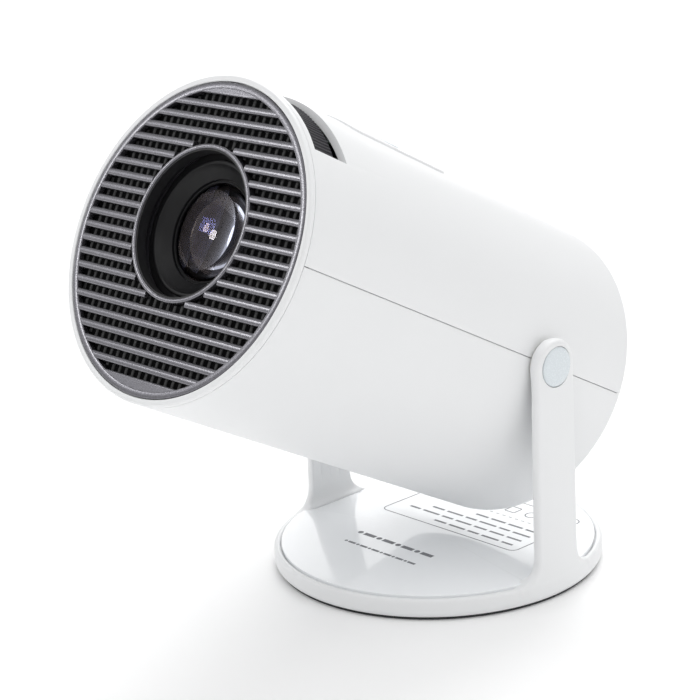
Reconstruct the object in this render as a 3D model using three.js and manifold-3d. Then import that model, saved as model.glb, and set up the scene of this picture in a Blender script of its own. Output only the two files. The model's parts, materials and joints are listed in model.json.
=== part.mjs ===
// Home projector: a tube-shaped body that tilts between the two arms of a weighted round stand.
//
// Millimetres, +Z up. The origin is the centre of the foot pad, on the table. The lens looks towards -Y,
// and "left" and "right" are as seen by someone who stands in front of the lens: right is +X.
// The body is drawn about its own axis, in a group that stands at the tilt pivot: there +Y runs to
// the back of the body and +Z to its top, and the group is then tilted nose up.

import * as THREE from 'three';
import { mergeVertices } from 'three/addons/utils/BufferGeometryUtils.js';
import Module from 'manifold-3d';

const wasm = await Module();
wasm.setup();

// ---- driving dimensions: body --------------------------------------------------------------

const bodyRadius = 54;          // outside of the shells
const bodyFront = 122.3;        // tilt pivot to the front face
const bodyRear = 44.5;          // tilt pivot to the back edge
const wall = 2.5;               // shell wall
const restTilt = 28.2;          // degrees, nose up
const seamGap = 0.3;            // between the upper and the lower shell
const fitGap = 0.3;             // between two pieces that rest on each other

// ---- driving dimensions: front end, depths from the front face -------------------------------

const bezelDepth = 1.8;         // visible depth of the white front ring
const bezelWidth = 2.1;         // its face, from the outside inwards
const bezelTongue = 2;          // wall of the tongue that enters the shells
const grilleFace = 0.15;        // the grille sits this far behind the front face
const grilleThick = 2.2;
const grilleRim = 2.3;          // width of the plain rim around the slots
const grilleLip = 1.1;          // thickness of the rim where it laps over the bezel's tongue
const slotPitch = 4.54;         // slat to slat
const slotHeight = 2.05;        // open gap between two slats
const slotCount = 21;
const slotCentre = 0.67;        // middle of the slot field above the body's axis
const lensRise = 5.2;           // lens axis above the body's axis
const lensHoleGap = 1.26;       // hole in the grille around the lens barrel
const lensCollar = 2;           // wall of the raised ring around it
const collarDepth = 4.5;
const meshThick = 0.5;          // perforated screen behind the grille

// ---- driving dimensions: focus wheel, lens -----------------------------------------------------

const windowFront = 4.4;        // focus window, depth of its front edge
const windowLength = 14.6;
const windowHalfAngle = 48.5;   // degrees to each side of the top
const wheelSink = 1.9;          // top of the wheel below the outside of the shell
const wheelWidth = 13.4;
const spokeSetBack = 2.4;       // of the spokes behind the rim's front edge
const wheelRim = 2.5;
const wheelSpokes = 4;
const spokeWidth = 6;
const spokeThick = 2.5;
const wheelCollarWall = 2.2;
const wheelCollarLength = 17;
const barrelRadius = 22.8;
const barrelDepth = 6;          // front of the lens barrel behind the front face
const barrelEndGap = 2;         // barrel, wound right back, to the light engine
const lensTravel = 3;           // each way from the stored place
const barrelWall = 2.5;
const glassDepth = 11;          // back of the lip that holds the front lens
const glassLip = 0.8;
const glassClear = 16.3;        // radius of the clear opening in the lip
const glassSag = 4.9;           // height of the front lens's dome
const frontLensEdge = 4;
const middleLensDepth = 27;
const rearLensDepth = 36.5;
const retainerThick = 2.2;
const slideGap = 0.3;           // barrel in its mount, wheel collar on the mount
const mountWall = 2.6;
const mountDepth = 7.5;
const mountLength = 42.5;
const mountFlange = 34;         // half width of the flange
const flangeThick = 3;

// ---- driving dimensions: light engine, depths from the front face ------------------------------

const tunnelWidth = 74;
const tunnelHeight = 54;
const tunnelWall = 2;
const tunnelFront = 50.3;
const tunnelLength = 70;
const panels = {                // flat optical pieces across the tunnel: depth and thickness
  fresnel_front: [78, 2],
  lcd_panel: [84, 2.5],
  heat_glass: [90, 1.5],
  fresnel_rear: [95, 2],
};
const condenserDepth = 106;
const condenserRadius = 20;
const condenserThick = 9;
const ledPlate = 46;            // side of the square lamp board
const ledThick = 2.4;
const emitterSize = 14;
const emitterThick = 1.2;
const sinkSize = 58;            // side of the heat sink
const sinkBase = 3;
const finCount = 9;
const finThick = 1.6;
const finLength = 14;

// ---- driving dimensions: fan, boards, back --------------------------------------------------

const fanSize = 56;
const fanDepth = 12;
const fanRise = 9;              // fan axis above the body's axis
const fanWall = 1.6;
const fanHub = 13;
const bladeCount = 7;
const bladeThick = 1.4;
const fanGapBack = 1.5;         // fan to the back cover
const boardThick = 1.6;
const mainBoardDrop = 30;       // underside of the main board below the axis
const boardEdgeGap = 0.6;       // main board to the inside of the shell at each side
const mainBoardLength = 96;
const powerBoardDrop = 38;
const powerBoardWidth = 58;
const powerBoardLength = 74;
const powerBoardSetBack = 18;   // behind it, room for the mains inlet
const sunk = 0.2;               // how far a component reaches into its board
const mainChips = {             // across, ahead of the board's back edge, and height
  processor: { across: [-9, 9], ahead: [60, 42], height: 3 },
  memory: { across: [14, 26], ahead: [56, 46], height: 1.4 },
};
const transformer = { across: [-16, 2], along: [22, 44], height: 9 };
const capacitor = { across: 14, along: [46, 66], radius: 4.2 };
const speakerBox = { width: 40, depth: 20, low: -46, high: -26, ahead: 24 };
const rearInset = 0.8;          // back cover behind the edge of the shells
const rearThick = 2.2;
const rearSlotHeight = 2.4;
const rearSlotPitch = 4.54;
const rearSlotCount = 12;
const rearSlotFirst = -14;      // lowest vent, above the body's axis
const rearFieldRadius = 45;
const rearRibWidth = 3;
const screwHead = 2.8;
const screwShank = 1.3;
const screwInset = 1.1;         // edge of a rear screw's head to the inside of the shells
const screwLength = 9;

// ---- driving dimensions: keypad ---------------------------------------------------------------

const padFront = 84.5;          // ahead of the pivot
const padLength = 49.5;
const padHalfWidth = 18.5;
const padProud = 0.6;
const padThick = 1.2;
const keyRadius = 4;
const keyLength = 5.1;
const keyProud = 0.4;
const keySpacing = 11;
const keyBoardGap = 3.7;        // under the keys, pressed or not
const keyBoardThick = 1.2;

// ---- driving dimensions: stand ----------------------------------------------------------------

const armGap = 2;               // arm's inner face to the widest line of the body
const armThick = 3.3;
const armTop = 9.4;             // radius of the arm's round top
const armFootHalf = 10;         // half width just above the foot
const footFlare = 8;            // radius of the hollow curves at the foot
const bossRadius = 9.3;
const bossGap = 1;              // arm's boss to the body
const washerThick = 0.6;
const washerRadius = 8;
const shankRadius = 2.5;
const shankGap = 0.15;
const hubRadius = 6;
const hubFlange = 9;
const hubFlangeThick = 2.4;
const pivotHead = 4.6;
const pivotHeadThick = 1.2;
const capRadius = 6.8;
const capThick = 1.2;
const capProud = 0.6;
const baseLip = 7.9;            // top of the rim
const rimWall = 2.4;
const rimFloor = 1.6;
const plateThick = 1.6;
const plateProud = 0.5;         // plate above the rim
const swingGap = 4.7;           // body's back corner over the plate
const padUnder = 0.6;           // foot pad
const coverThick = 1;
const ballastThick = 2.3;
const baseBossCircle = 42;
const baseBossRadius = 4;
const baseScrewHead = 2.9;
const baseScrewShank = 1.4;
const footDepth = 3;            // arm's foot inside the rim
const footHalf = 12;

// ---- derived places ---------------------------------------------------------------------------

const front = -bodyFront;
const shellInner = bodyRadius - wall;
const windowBack = windowFront + windowLength;
const barrelLength = tunnelFront - barrelDepth - lensTravel - barrelEndGap;
const armInner = bodyRadius + armGap;
const armOuter = armInner + armThick;
const baseRadius = armOuter + 0.2;
const plateTop = baseLip + plateProud;
const pivotHeight = plateTop + Math.hypot(bodyRear, bodyRadius) + swingGap;
const rearFace = bodyRear - rearInset;
const rearInner = rearFace - rearThick;
const fanBack = rearInner - fanGapBack;
const fanFront = fanBack - fanDepth;
const tunnelBack = tunnelFront + tunnelLength;
const mountOuter = barrelRadius + slideGap + mountWall;
const wheelRadius = bodyRadius - wheelSink - lensRise;
const grilleRadius = bodyRadius - bezelWidth - fitGap;
const lensHole = barrelRadius + lensHoleGap;
const keyBoardTop = bodyRadius + padProud + keyProud - keyLength - keyBoardGap;
const screwCircle = shellInner - screwHead - screwInset;
const screwBoss = shellInner - screwCircle + 0.4;
const around = 48;              // facets of the large rounds
const fine = 24;                // facets of the lens parts
const small = 12;               // facets of screws and bosses

// ---- materials --------------------------------------------------------------------------------

const finish = (color, roughness, metalness = 0) =>
  new THREE.MeshStandardMaterial({ color, roughness, metalness });
const whiteShell = finish(0xf3f4f5, 0.42);
const whiteGloss = finish(0xf4f6f8, 0.12);
const capGrey = finish(0xe4e9ec, 0.3);
const grilleGrey = finish(0x6b6a70, 0.35, 0.3);
const blackPlastic = finish(0x17171a, 0.5);
const charcoal = finish(0x3a393f, 0.55);
const glass = finish(0x9fb2d8, 0.05);
const opticGlass = finish(0xdfe6ee, 0.1);
const boardGreen = finish(0x1e5a3a, 0.5);
const aluminium = finish(0xb9bcc0, 0.4, 1);
const steel = finish(0xc3c4c8, 0.3, 1);
const nylon = finish(0xe8e6df, 0.6);
const rubber = finish(0x3c3d40, 0.9);

// ---- shape helpers ----------------------------------------------------------------------------

// One closed body with shared corners and its faces pointing out, from any closed geometry.
function solid(geometry) {
  const bare = geometry.index ? geometry.toNonIndexed() : geometry.clone();
  bare.deleteAttribute('normal');
  bare.deleteAttribute('uv');
  const merged = mergeVertices(bare, 1e-4);
  const place = merged.attributes.position.array;
  const used = [];
  let volume = 0;
  const corners = [new THREE.Vector3(), new THREE.Vector3(), new THREE.Vector3()];
  for (let i = 0; i < merged.index.count; i += 3) {
    const [a, b, c] = [0, 1, 2].map((k) => merged.index.getX(i + k));
    if (a === b || b === c || c === a) continue;
    used.push(a, b, c);
    [a, b, c].forEach((corner, k) => corners[k].fromArray(place, corner * 3));
    volume += corners[0].dot(corners[1].clone().cross(corners[2]));
  }
  if (volume < 0) used.reverse();
  return new wasm.Manifold(new wasm.Mesh({
    numProp: 3,
    vertProperties: new Float32Array(place),
    triVerts: new Uint32Array(used),
  }));
}

const cut = (body, ...tools) => tools.reduce((rest, tool) => rest.subtract(tool), body);
const join = (body, ...others) => others.reduce((sum, other) => sum.add(other), body);

function geometryOf(body) {
  const { vertProperties, triVerts } = body.getMesh();
  const geometry = new THREE.BufferGeometry();
  geometry.setAttribute('position', new THREE.BufferAttribute(new Float32Array(vertProperties), 3));
  geometry.setIndex(new THREE.BufferAttribute(new Uint32Array(triVerts), 1));
  geometry.computeVertexNormals();
  return geometry;
}

// A box between two corners.
function box([x0, y0, z0], [x1, y1, z1]) {
  const shape = new THREE.BoxGeometry(x1 - x0, y1 - y0, z1 - z0);
  return solid(shape.translate((x0 + x1) / 2, (y0 + y1) / 2, (z0 + z1) / 2));
}

// A closed profile of [radius, y] points, turned about the Y axis and then lifted.
function turned(points, facets = around, rise = 0) {
  const profile = points.map(([radius, y]) => new THREE.Vector2(radius, y));
  if (points[0][0] > 0) profile.push(profile[0].clone());
  return solid(new THREE.LatheGeometry(profile, facets).translate(0, 0, rise));
}

const ring = (inner, outer, y0, y1, facets = around, rise = 0) =>
  turned([[inner, y0], [outer, y0], [outer, y1], [inner, y1]], facets, rise);

// Round bars along Y, along Z and along X.
function roundY(radius, y0, y1, [x, z] = [0, 0], facets = small) {
  const bar = new THREE.CylinderGeometry(radius, radius, y1 - y0, facets);
  return solid(bar.translate(x, (y0 + y1) / 2, z));
}

function roundZ(radius, z0, z1, [x, y] = [0, 0], facets = small) {
  const bar = new THREE.CylinderGeometry(radius, radius, z1 - z0, facets).rotateX(Math.PI / 2);
  return solid(bar.translate(x, y, (z0 + z1) / 2));
}

function roundX(radius, x0, x1, [y, z] = [0, 0], facets = small) {
  const bar = new THREE.CylinderGeometry(radius, radius, Math.abs(x1 - x0), facets).rotateZ(Math.PI / 2);
  return solid(bar.translate((x0 + x1) / 2, y, z));
}

// An outline in X and Z, given depth along Y.
function prismY(outline, y0, y1, curveSegments = 4) {
  const shape = new THREE.ExtrudeGeometry(outline, { depth: y1 - y0, bevelEnabled: false, curveSegments });
  return solid(shape.rotateX(Math.PI / 2).translate(0, y1, 0));
}

// An outline in Y and Z, given depth along X.
function prismX(outline, x0, x1, curveSegments = 12) {
  const shape = new THREE.ExtrudeGeometry(outline, { depth: x1 - x0, bevelEnabled: false, curveSegments });
  const turn = new THREE.Matrix4().makeBasis(
    new THREE.Vector3(0, 1, 0), new THREE.Vector3(0, 0, 1), new THREE.Vector3(1, 0, 0));
  return solid(shape.applyMatrix4(turn).translate(x0, 0, 0));
}

// A piece of a thick arc above the Y axis, from one radius to another.
function arcBlock(inner, outer, halfAngle, y0, y1) {
  const half = THREE.MathUtils.degToRad(halfAngle);
  const outline = new THREE.Shape();
  outline.absarc(0, 0, outer, Math.PI / 2 - half, Math.PI / 2 + half, false);
  outline.absarc(0, 0, inner, Math.PI / 2 + half, Math.PI / 2 - half, true);
  return prismY(outline, y0, y1, 16);
}

function roundedRect(width, height, radius, [x, z] = [0, 0]) {
  const [w, h] = [width / 2 - radius, height / 2 - radius];
  const outline = new THREE.Shape();
  outline.absarc(x + w, z + h, radius, 0, Math.PI / 2);
  outline.absarc(x - w, z + h, radius, Math.PI / 2, Math.PI);
  outline.absarc(x - w, z - h, radius, Math.PI, Math.PI * 1.5);
  outline.absarc(x + w, z - h, radius, Math.PI * 1.5, Math.PI * 2);
  return outline;
}

// ---- the model's two groups -------------------------------------------------------------------

const projector = new THREE.Group();
const stand = new THREE.Group();
const body = new THREE.Group();
body.position.z = pivotHeight;
body.rotation.x = THREE.MathUtils.degToRad(-restTilt);
projector.add(stand, body);

function place(group, name, shape, material) {
  const mesh = new THREE.Mesh(geometryOf(shape), material);
  mesh.name = name;
  group.add(mesh);
  return mesh;
}

const sides = [['left', -1], ['right', 1]];

// ---- stand ------------------------------------------------------------------------------------

const standY = (shape) => new THREE.Vector2(shape[0], shape[1]);
const aboutZ = (points, facets = around) => solid(
  new THREE.LatheGeometry([...points, points[0]].map(standY), facets).rotateX(Math.PI / 2));
const baseBosses = [90, 210, 330].map((angle) => {
  const turn = THREE.MathUtils.degToRad(angle);
  return [baseBossCircle * Math.cos(turn), baseBossCircle * Math.sin(turn)];
});
const floorTop = plateTop - plateThick - fitGap;
const floorUnder = floorTop - rimFloor;
const coverUnder = padUnder + fitGap;
const coverTop = coverUnder + coverThick;
const rimInner = baseRadius - rimWall;

// Rim and floor of the base, open below for the weight, with three screw bosses.
function baseFrame() {
  const dish = aboutZ([
    [rimInner, padUnder + 0.2], [baseRadius - 1.3, padUnder + 0.2], [baseRadius, padUnder + 1.6],
    [baseRadius, baseLip - 0.8], [baseRadius - 0.8, baseLip], [rimInner, baseLip],
  ]);
  const floor = roundZ(rimInner + 0.5, floorUnder, floorTop, [0, 0], around);
  const bosses = baseBosses.map((at) => roundZ(baseBossRadius, coverTop + fitGap, floorTop - 0.2, at));
  const holes = baseBosses.map((at) => roundZ(baseScrewShank + 0.2, 0, floorTop - 0.8, at));
  return cut(join(dish, floor, ...bosses), ...holes);
}

// Weight under the floor, with holes for the bosses.
function baseBallast() {
  const disc = roundZ(rimInner - 6, coverTop + fitGap, coverTop + fitGap + ballastThick, [0, 0], around);
  return cut(disc, ...baseBosses.map((at) => roundZ(baseBossRadius + fitGap, 0, baseLip, at)));
}

function baseBottomCover() {
  const disc = roundZ(rimInner - fitGap, coverUnder, coverTop, [0, 0], around);
  return cut(disc, ...baseBosses.map((at) => roundZ(baseScrewHead + 0.2, 0, baseLip, at)));
}

function baseScrew(at) {
  const head = roundZ(baseScrewHead, coverUnder, coverTop, at);
  return join(head, roundZ(baseScrewShank, coverUnder, floorTop - 1.4, at));
}

const footInner = armInner - footDepth - 0.4;

// Glossy plate on the base, notched around the arms' feet.
function baseTopPlate() {
  const disc = roundZ(rimInner - fitGap, plateTop - plateThick, plateTop, [0, 0], around);
  const notches = sides.map(([, sign]) => {
    const [x0, x1] = [footInner - fitGap, baseRadius].map((x) => x * sign).sort((a, b) => a - b);
    const half = footHalf + fitGap;
    return box([x0, -half, 0], [x1, half, pivotHeight]);
  });
  return cut(disc, ...notches);
}

// Side view of an arm: round top about the pivot, nearly straight sides, hollow curves at the foot.
function armOutline() {
  const bottom = baseLip + fitGap;
  const shoulder = bottom + footFlare;
  const outline = new THREE.Shape();
  outline.moveTo(armFootHalf + footFlare, bottom);
  outline.absarc(armFootHalf + footFlare, shoulder, footFlare, -Math.PI / 2, -Math.PI, true);
  outline.lineTo(armTop, pivotHeight);
  outline.absarc(0, pivotHeight, armTop, 0, Math.PI, false);
  outline.lineTo(-armFootHalf, shoulder);
  outline.absarc(-armFootHalf - footFlare, shoulder, footFlare, 0, -Math.PI / 2, true);
  return outline;
}

// Hollow curve from the arm's inner face down to its foot, seen from the front.
function footOutline() {
  const outline = new THREE.Shape();
  outline.moveTo(armInner + 1, floorTop + fitGap);
  outline.lineTo(armInner + 1, plateTop + footFlare);
  outline.lineTo(armInner, plateTop + footFlare);
  outline.quadraticCurveTo(armInner, plateTop + 1, footInner, plateTop + 0.6);
  outline.lineTo(footInner, floorTop + fitGap);
  return outline;
}

const headSeat = bodyRadius + bossGap + 2;
const headTop = headSeat + 0.2 + pivotHeadThick;
const capSeat = armOuter + capProud - capThick - fitGap;

function arm() {
  const blade = prismX(armOutline(), armInner, armOuter);
  const boss = roundX(bossRadius, bodyRadius + bossGap, armOuter - 1, [0, pivotHeight], fine);
  const foot = prismY(footOutline(), -footHalf, footHalf);
  const inside = roundZ(rimInner - fitGap, 0, baseLip + fitGap + 1, [0, 0], around);
  const above = roundZ(armOuter, baseLip + fitGap, pivotHeight * 2, [0, 0], around);
  const whole = join(blade, boss, foot).intersect(join(inside, above));
  return cut(whole,
    roundX(shankRadius + shankGap, bodyRadius, armOuter + 1, [0, pivotHeight], fine),
    roundX(pivotHead + shankGap, headSeat, armOuter + 1, [0, pivotHeight], fine),
    roundX(capRadius + shankGap, capSeat, armOuter + 1, [0, pivotHeight], fine));
}

// Flat-headed screw that the body turns on: it reaches the hub inside the shells.
function pivotScrew() {
  const head = roundX(pivotHead, headSeat + 0.2, headTop, [0, pivotHeight], fine);
  return join(head, roundX(shankRadius, shellInner - 3, headTop, [0, pivotHeight], fine));
}

function frictionWasher() {
  const start = bodyRadius + 0.15;
  const disc = roundX(washerRadius, start, start + washerThick, [0, pivotHeight], fine);
  return cut(disc, roundX(shankRadius + 0.4, start - 1, start + 2, [0, pivotHeight], fine));
}

// Slightly domed cap over the screw.
function armCap() {
  const [inner, outer] = [capSeat + fitGap, armOuter + capProud];
  const dome = [[0, 0], [capRadius, 0], [capRadius, capThick - 0.5], [capRadius - 0.5, capThick - 0.15],
    [0, capThick]];
  const shape = new THREE.LatheGeometry(dome.map(standY), fine).rotateZ(-Math.PI / 2);
  return solid(shape.translate(outer - capThick, 0, pivotHeight)).intersect(
    box([inner - 1, -20, 0], [outer + 1, 20, pivotHeight * 2]));
}

// The same piece on the other side of the object.
function mirrored(shape) {
  return solid(geometryOf(shape).scale(-1, 1, 1));
}

place(stand, 'base_frame', baseFrame(), whiteShell);
place(stand, 'base_top_plate', baseTopPlate(), whiteGloss);
place(stand, 'base_ballast', baseBallast(), steel);
place(stand, 'base_bottom_cover', baseBottomCover(), whiteShell);
place(stand, 'foot_pad', roundZ(baseRadius - 1.6, 0, padUnder, [0, 0], around), rubber);
baseBosses.forEach((at, i) => place(stand, `base_screw_${i + 1}`, baseScrew(at), steel));
for (const [side, sign] of sides) {
  const onSide = (shape) => (sign < 0 ? mirrored(shape) : shape);
  place(stand, `arm_${side}`, onSide(arm()), whiteShell);
  place(stand, `pivot_screw_${side}`, onSide(pivotScrew()), steel);
  place(stand, `friction_washer_${side}`, onSide(frictionWasher()), nylon);
  place(stand, `arm_cap_${side}`, onSide(armCap()), capGrey);
}

// ---- body: shells -----------------------------------------------------------------------------

const screwPlaces = [45, 135, 225, 315].map((angle) => {
  const turn = THREE.MathUtils.degToRad(angle);
  return [screwCircle * Math.cos(turn), screwCircle * Math.sin(turn)];
});
const keyAngle = THREE.MathUtils.radToDeg(keySpacing / (bodyRadius + padProud));
const keyMiddle = -(padFront - padLength / 2);
const keys = {                  // degrees from the top, and place along the body
  key_power: [0, keyMiddle],
  key_volume_up: [0, keyMiddle - keySpacing],
  key_volume_down: [0, keyMiddle + keySpacing],
  key_back: [-keyAngle, keyMiddle],
  key_forward: [keyAngle, keyMiddle],
};
const padInner = bodyRadius + padProud - padThick;
const padSeat = padInner - fitGap;

// A bar across the top wall of the body at a key's place.
function keyBar([degrees, y], radius, from, to) {
  const bar = new THREE.CylinderGeometry(radius, radius, to - from, 16).rotateX(Math.PI / 2);
  bar.translate(0, 0, (from + to) / 2).rotateY(THREE.MathUtils.degToRad(degrees)).translate(0, y, 0);
  return solid(bar);
}

// The whole tube with everything that is cut through it, before it is parted along the middle.
function tube() {
  const [start, end] = [front + bezelDepth + 0.2, bodyRear];
  const rebate = front + windowFront;
  const skin = turned([
    [shellInner + 1.1, start], [bodyRadius, start], [bodyRadius, end - 1],
    [bodyRadius - 1, end], [shellInner, end], [shellInner, rebate], [shellInner + 1.1, rebate],
  ]);
  const bossBack = rearInner - fitGap;
  const bosses = screwPlaces.map((at) => roundY(screwBoss, bossBack - screwLength, bossBack, at));
  const inPipe = roundY(bodyRadius - 0.5, front, bodyRear, [0, 0], around);
  const holes = screwPlaces.map((at) => roundY(screwShank + 0.2, bossBack - screwLength + 1, bodyRear, at));
  const recess = arcBlock(padSeat, bodyRadius + 5, 60, -padFront - fitGap, -padFront + padLength + fitGap)
    .intersect(box([-padHalfWidth - fitGap, front, 0], [padHalfWidth + fitGap, bodyRear, bodyRadius * 2]));
  return cut(join(skin, ...bosses.map((boss) => boss.intersect(inPipe))),
    arcBlock(shellInner - 2, bodyRadius + 2, windowHalfAngle, front + windowFront, front + windowBack),
    recess,
    ...Object.values(keys).map((at) => keyBar(at, keyRadius + 0.3, shellInner - 3, bodyRadius + 3)),
    roundX(hubRadius + fitGap, -bodyRadius * 1.2, bodyRadius * 1.2, [0, 0], fine),
    ...holes);
}

function halfTube(sign) {
  const reach = bodyRadius * 3 + bodyFront;
  const [low, high] = sign > 0 ? [seamGap / 2, reach] : [-reach, -seamGap / 2];
  return tube().intersect(box([-reach, -reach, low], [reach, reach, high]));
}

function pivotHub() {
  const flangeFace = Math.sqrt(shellInner ** 2 - hubFlange ** 2) - fitGap;
  return cut(
    join(roundX(hubFlange, flangeFace - hubFlangeThick, flangeFace, [0, 0], fine),
      roundX(hubRadius, flangeFace - hubFlangeThick, bodyRadius - 0.15, [0, 0], fine)),
    roundX(shankRadius + shankGap, 0, bodyRadius * 2, [0, 0], fine));
}

place(body, 'upper_shell', halfTube(1), whiteShell);
place(body, 'lower_shell', halfTube(-1), whiteShell);
place(body, 'pivot_hub_left', mirrored(pivotHub()), steel);
place(body, 'pivot_hub_right', pivotHub(), steel);

// ---- body: front end --------------------------------------------------------------------------

// White ring around the front face, with the tongue that centres it in the shells.
function frontBezel() {
  const face = bodyRadius - bezelWidth;
  const tongueOuter = shellInner + 1.1 - fitGap;
  const tongueInner = tongueOuter - bezelTongue;
  const seat = grilleFace + grilleLip + fitGap;
  return turned([
    [face, front], [bodyRadius - 0.6, front], [bodyRadius, front + 0.6],
    [bodyRadius, front + bezelDepth], [tongueOuter, front + bezelDepth],
    [tongueOuter, front + windowFront - fitGap], [tongueInner, front + windowFront - fitGap],
    [tongueInner, front + seat], [face, front + seat],
  ]);
}

const grilleField = shellInner + 1.1 - fitGap - bezelTongue - fitGap;

// Slotted front plate with the collar around the lens.
function frontGrille() {
  const [face, back] = [front + grilleFace, front + grilleFace + grilleThick];
  const plate = turned([
    [0, face], [grilleRadius, face], [grilleRadius, face + grilleLip], [grilleField, face + grilleLip],
    [grilleField, back], [0, back],
  ]);
  const collar = roundY(lensHole + lensCollar, face, front + collarDepth, [0, lensRise], fine);
  const field = ring(lensHole + lensCollar, grilleRadius * 2, front - 5, front + 9, fine, lensRise)
    .intersect(roundY(grilleRadius - grilleRim, front - 5, front + 9, [0, 0], around));
  const slots = [];
  for (let i = 0; i < slotCount; i += 1) {
    const middle = slotCentre + (i - (slotCount - 1) / 2) * slotPitch;
    const [low, high] = [middle - slotHeight / 2, middle + slotHeight / 2];
    slots.push(box([-bodyRadius, front - 4, low], [bodyRadius, front + 8, high]));
  }
  const bars = join(...slots).intersect(field);
  const hole = roundY(lensHole, front - 5, front + 9, [0, lensRise], fine);
  return cut(join(plate, collar), bars, hole);
}

function grilleMesh() {
  const start = front + grilleFace + grilleThick + fitGap;
  const disc = roundY(grilleField, start, start + meshThick, [0, 0], around);
  return cut(disc, roundY(lensHole + lensCollar + fitGap, start - 1, start + 2, [0, lensRise], fine));
}

place(body, 'front_bezel', frontBezel(), whiteShell);
place(body, 'front_grille', frontGrille(), grilleGrey);
place(body, 'grille_mesh', grilleMesh(), blackPlastic);

// ---- body: focus wheel and lens, about the lens axis -----------------------------------------

function focusRing() {
  const start = front + windowFront + 0.5;
  const collarStart = start + spokeSetBack;
  const collarInner = mountOuter + slideGap;
  const rim = ring(wheelRadius - wheelRim, wheelRadius, start, start + wheelWidth, around, lensRise);
  const collarEnd = collarStart + wheelCollarLength;
  const collar = ring(collarInner, collarInner + wheelCollarWall, collarStart, collarEnd, fine, lensRise);
  const spokes = [];
  for (let i = 0; i < wheelSpokes; i += 1) {
    const bar = new THREE.BoxGeometry(wheelRadius - wheelRim / 2 - collarInner - 1, spokeThick, spokeWidth);
    bar.translate((wheelRadius - wheelRim / 2 + collarInner + 1) / 2, collarStart + spokeThick / 2, 0);
    bar.rotateY((i + 0.5) * Math.PI * 2 / wheelSpokes).translate(0, 0, lensRise);
    spokes.push(solid(bar));
  }
  return join(rim, collar, ...spokes);
}

const boreRadius = barrelRadius - barrelWall;
const lensRadius = boreRadius - fitGap;
const barrelBack = front + barrelDepth + barrelLength;

// Tube that carries the lenses: a cone and a lip in front of the first one.
function lensBarrel() {
  const start = front + barrelDepth;
  const lip = front + glassDepth;
  return turned([
    [barrelRadius - 1.3, start], [barrelRadius, start + 0.4], [barrelRadius, barrelBack],
    [boreRadius, barrelBack], [boreRadius, lip], [glassClear, lip], [glassClear, lip - glassLip],
  ], fine, lensRise);
}

// A lens: edge from one depth to another, with a front and a back bulge (negative is hollow).
function lens(radius, y0, y1, frontBulge, backBulge, steps = 3) {
  const profile = [];
  for (let i = 0; i <= steps; i += 1) {
    const r = radius * i / steps;
    profile.push([r, y0 - frontBulge * (1 - (i / steps) ** 2)]);
  }
  for (let i = steps; i >= 0; i -= 1) {
    const r = radius * i / steps;
    profile.push([r, y1 + backBulge * (1 - (i / steps) ** 2)]);
  }
  return turned(profile, fine, lensRise);
}

function frontLens() {
  const seat = front + glassDepth + fitGap;
  const dome = lens(glassClear - fitGap, seat, seat + frontLensEdge, glassSag, 1);
  return join(dome, ring(glassClear - 2, lensRadius, seat, seat + frontLensEdge, fine, lensRise));
}

// Fixed tube that the barrel slides in, with a square flange on the light engine.
function lensMount() {
  const [start, end] = [front + mountDepth, front + mountDepth + mountLength];
  const outline = roundedRect(mountFlange * 2, tunnelHeight, 4, [0, lensRise]);
  const flange = prismY(outline, end - flangeThick, end);
  return cut(join(roundY(mountOuter, start, end, [0, lensRise], fine), flange),
    roundY(barrelRadius + slideGap, start - 1, end + 1, [0, lensRise], fine));
}

const middleLens = front + middleLensDepth;
const rearLens = front + rearLensDepth;
place(body, 'focus_ring', focusRing(), charcoal);
place(body, 'lens_barrel', lensBarrel(), blackPlastic);
place(body, 'front_lens', frontLens(), glass);
place(body, 'middle_lens', lens(lensRadius, middleLens, middleLens + 5, -1, -1), glass);
place(body, 'rear_lens', lens(lensRadius, rearLens, rearLens + 4, 1.5, 1.5), glass);
place(body, 'lens_retainer',
  ring(lensRadius - 3, lensRadius, barrelBack - retainerThick, barrelBack, fine, lensRise), blackPlastic);
place(body, 'lens_mount', lensMount(), blackPlastic);

// ---- body: light engine ----------------------------------------------------------------------

// Square tunnel from the lens mount to the lamp, open at the back.
function opticalHousing() {
  const [start, end] = [front + tunnelFront, front + tunnelBack];
  const outer = prismY(roundedRect(tunnelWidth, tunnelHeight, 3, [0, lensRise]), start, end);
  const [w, h] = [tunnelWidth / 2 - tunnelWall, tunnelHeight / 2 - tunnelWall];
  return cut(outer,
    box([-w, start + tunnelWall, lensRise - h], [w, end + 1, lensRise + h]),
    roundY(boreRadius, start - 1, start + tunnelWall + 1, [0, lensRise], fine));
}

function opticPanel([depth, thick]) {
  const [w, h] = [tunnelWidth / 2 - tunnelWall - fitGap, tunnelHeight / 2 - tunnelWall - fitGap];
  return box([-w, front + depth, lensRise - h], [w, front + depth + thick, lensRise + h]);
}

const lampStart = front + tunnelBack + fitGap;
const sinkStart = lampStart + ledThick + fitGap;

function ledModule() {
  const plate = prismY(roundedRect(ledPlate, ledPlate, 2, [0, lensRise]), lampStart, lampStart + ledThick);
  const half = emitterSize / 2;
  return join(plate, box([-half, lampStart - emitterThick, lensRise - half],
    [half, lampStart + 0.5, lensRise + half]));
}

function heatSink() {
  const half = sinkSize / 2;
  const finEnd = Math.min(sinkStart + sinkBase + finLength, fanFront - 1);
  const plate = box([-half, sinkStart, lensRise - half], [half, sinkStart + sinkBase, lensRise + half]);
  const fins = [];
  for (let i = 0; i < finCount; i += 1) {
    const x = -half + (sinkSize - finThick) * i / (finCount - 1);
    fins.push(box([x, sinkStart + 1, lensRise - half], [x + finThick, finEnd, lensRise + half]));
  }
  return join(plate, ...fins);
}

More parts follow.
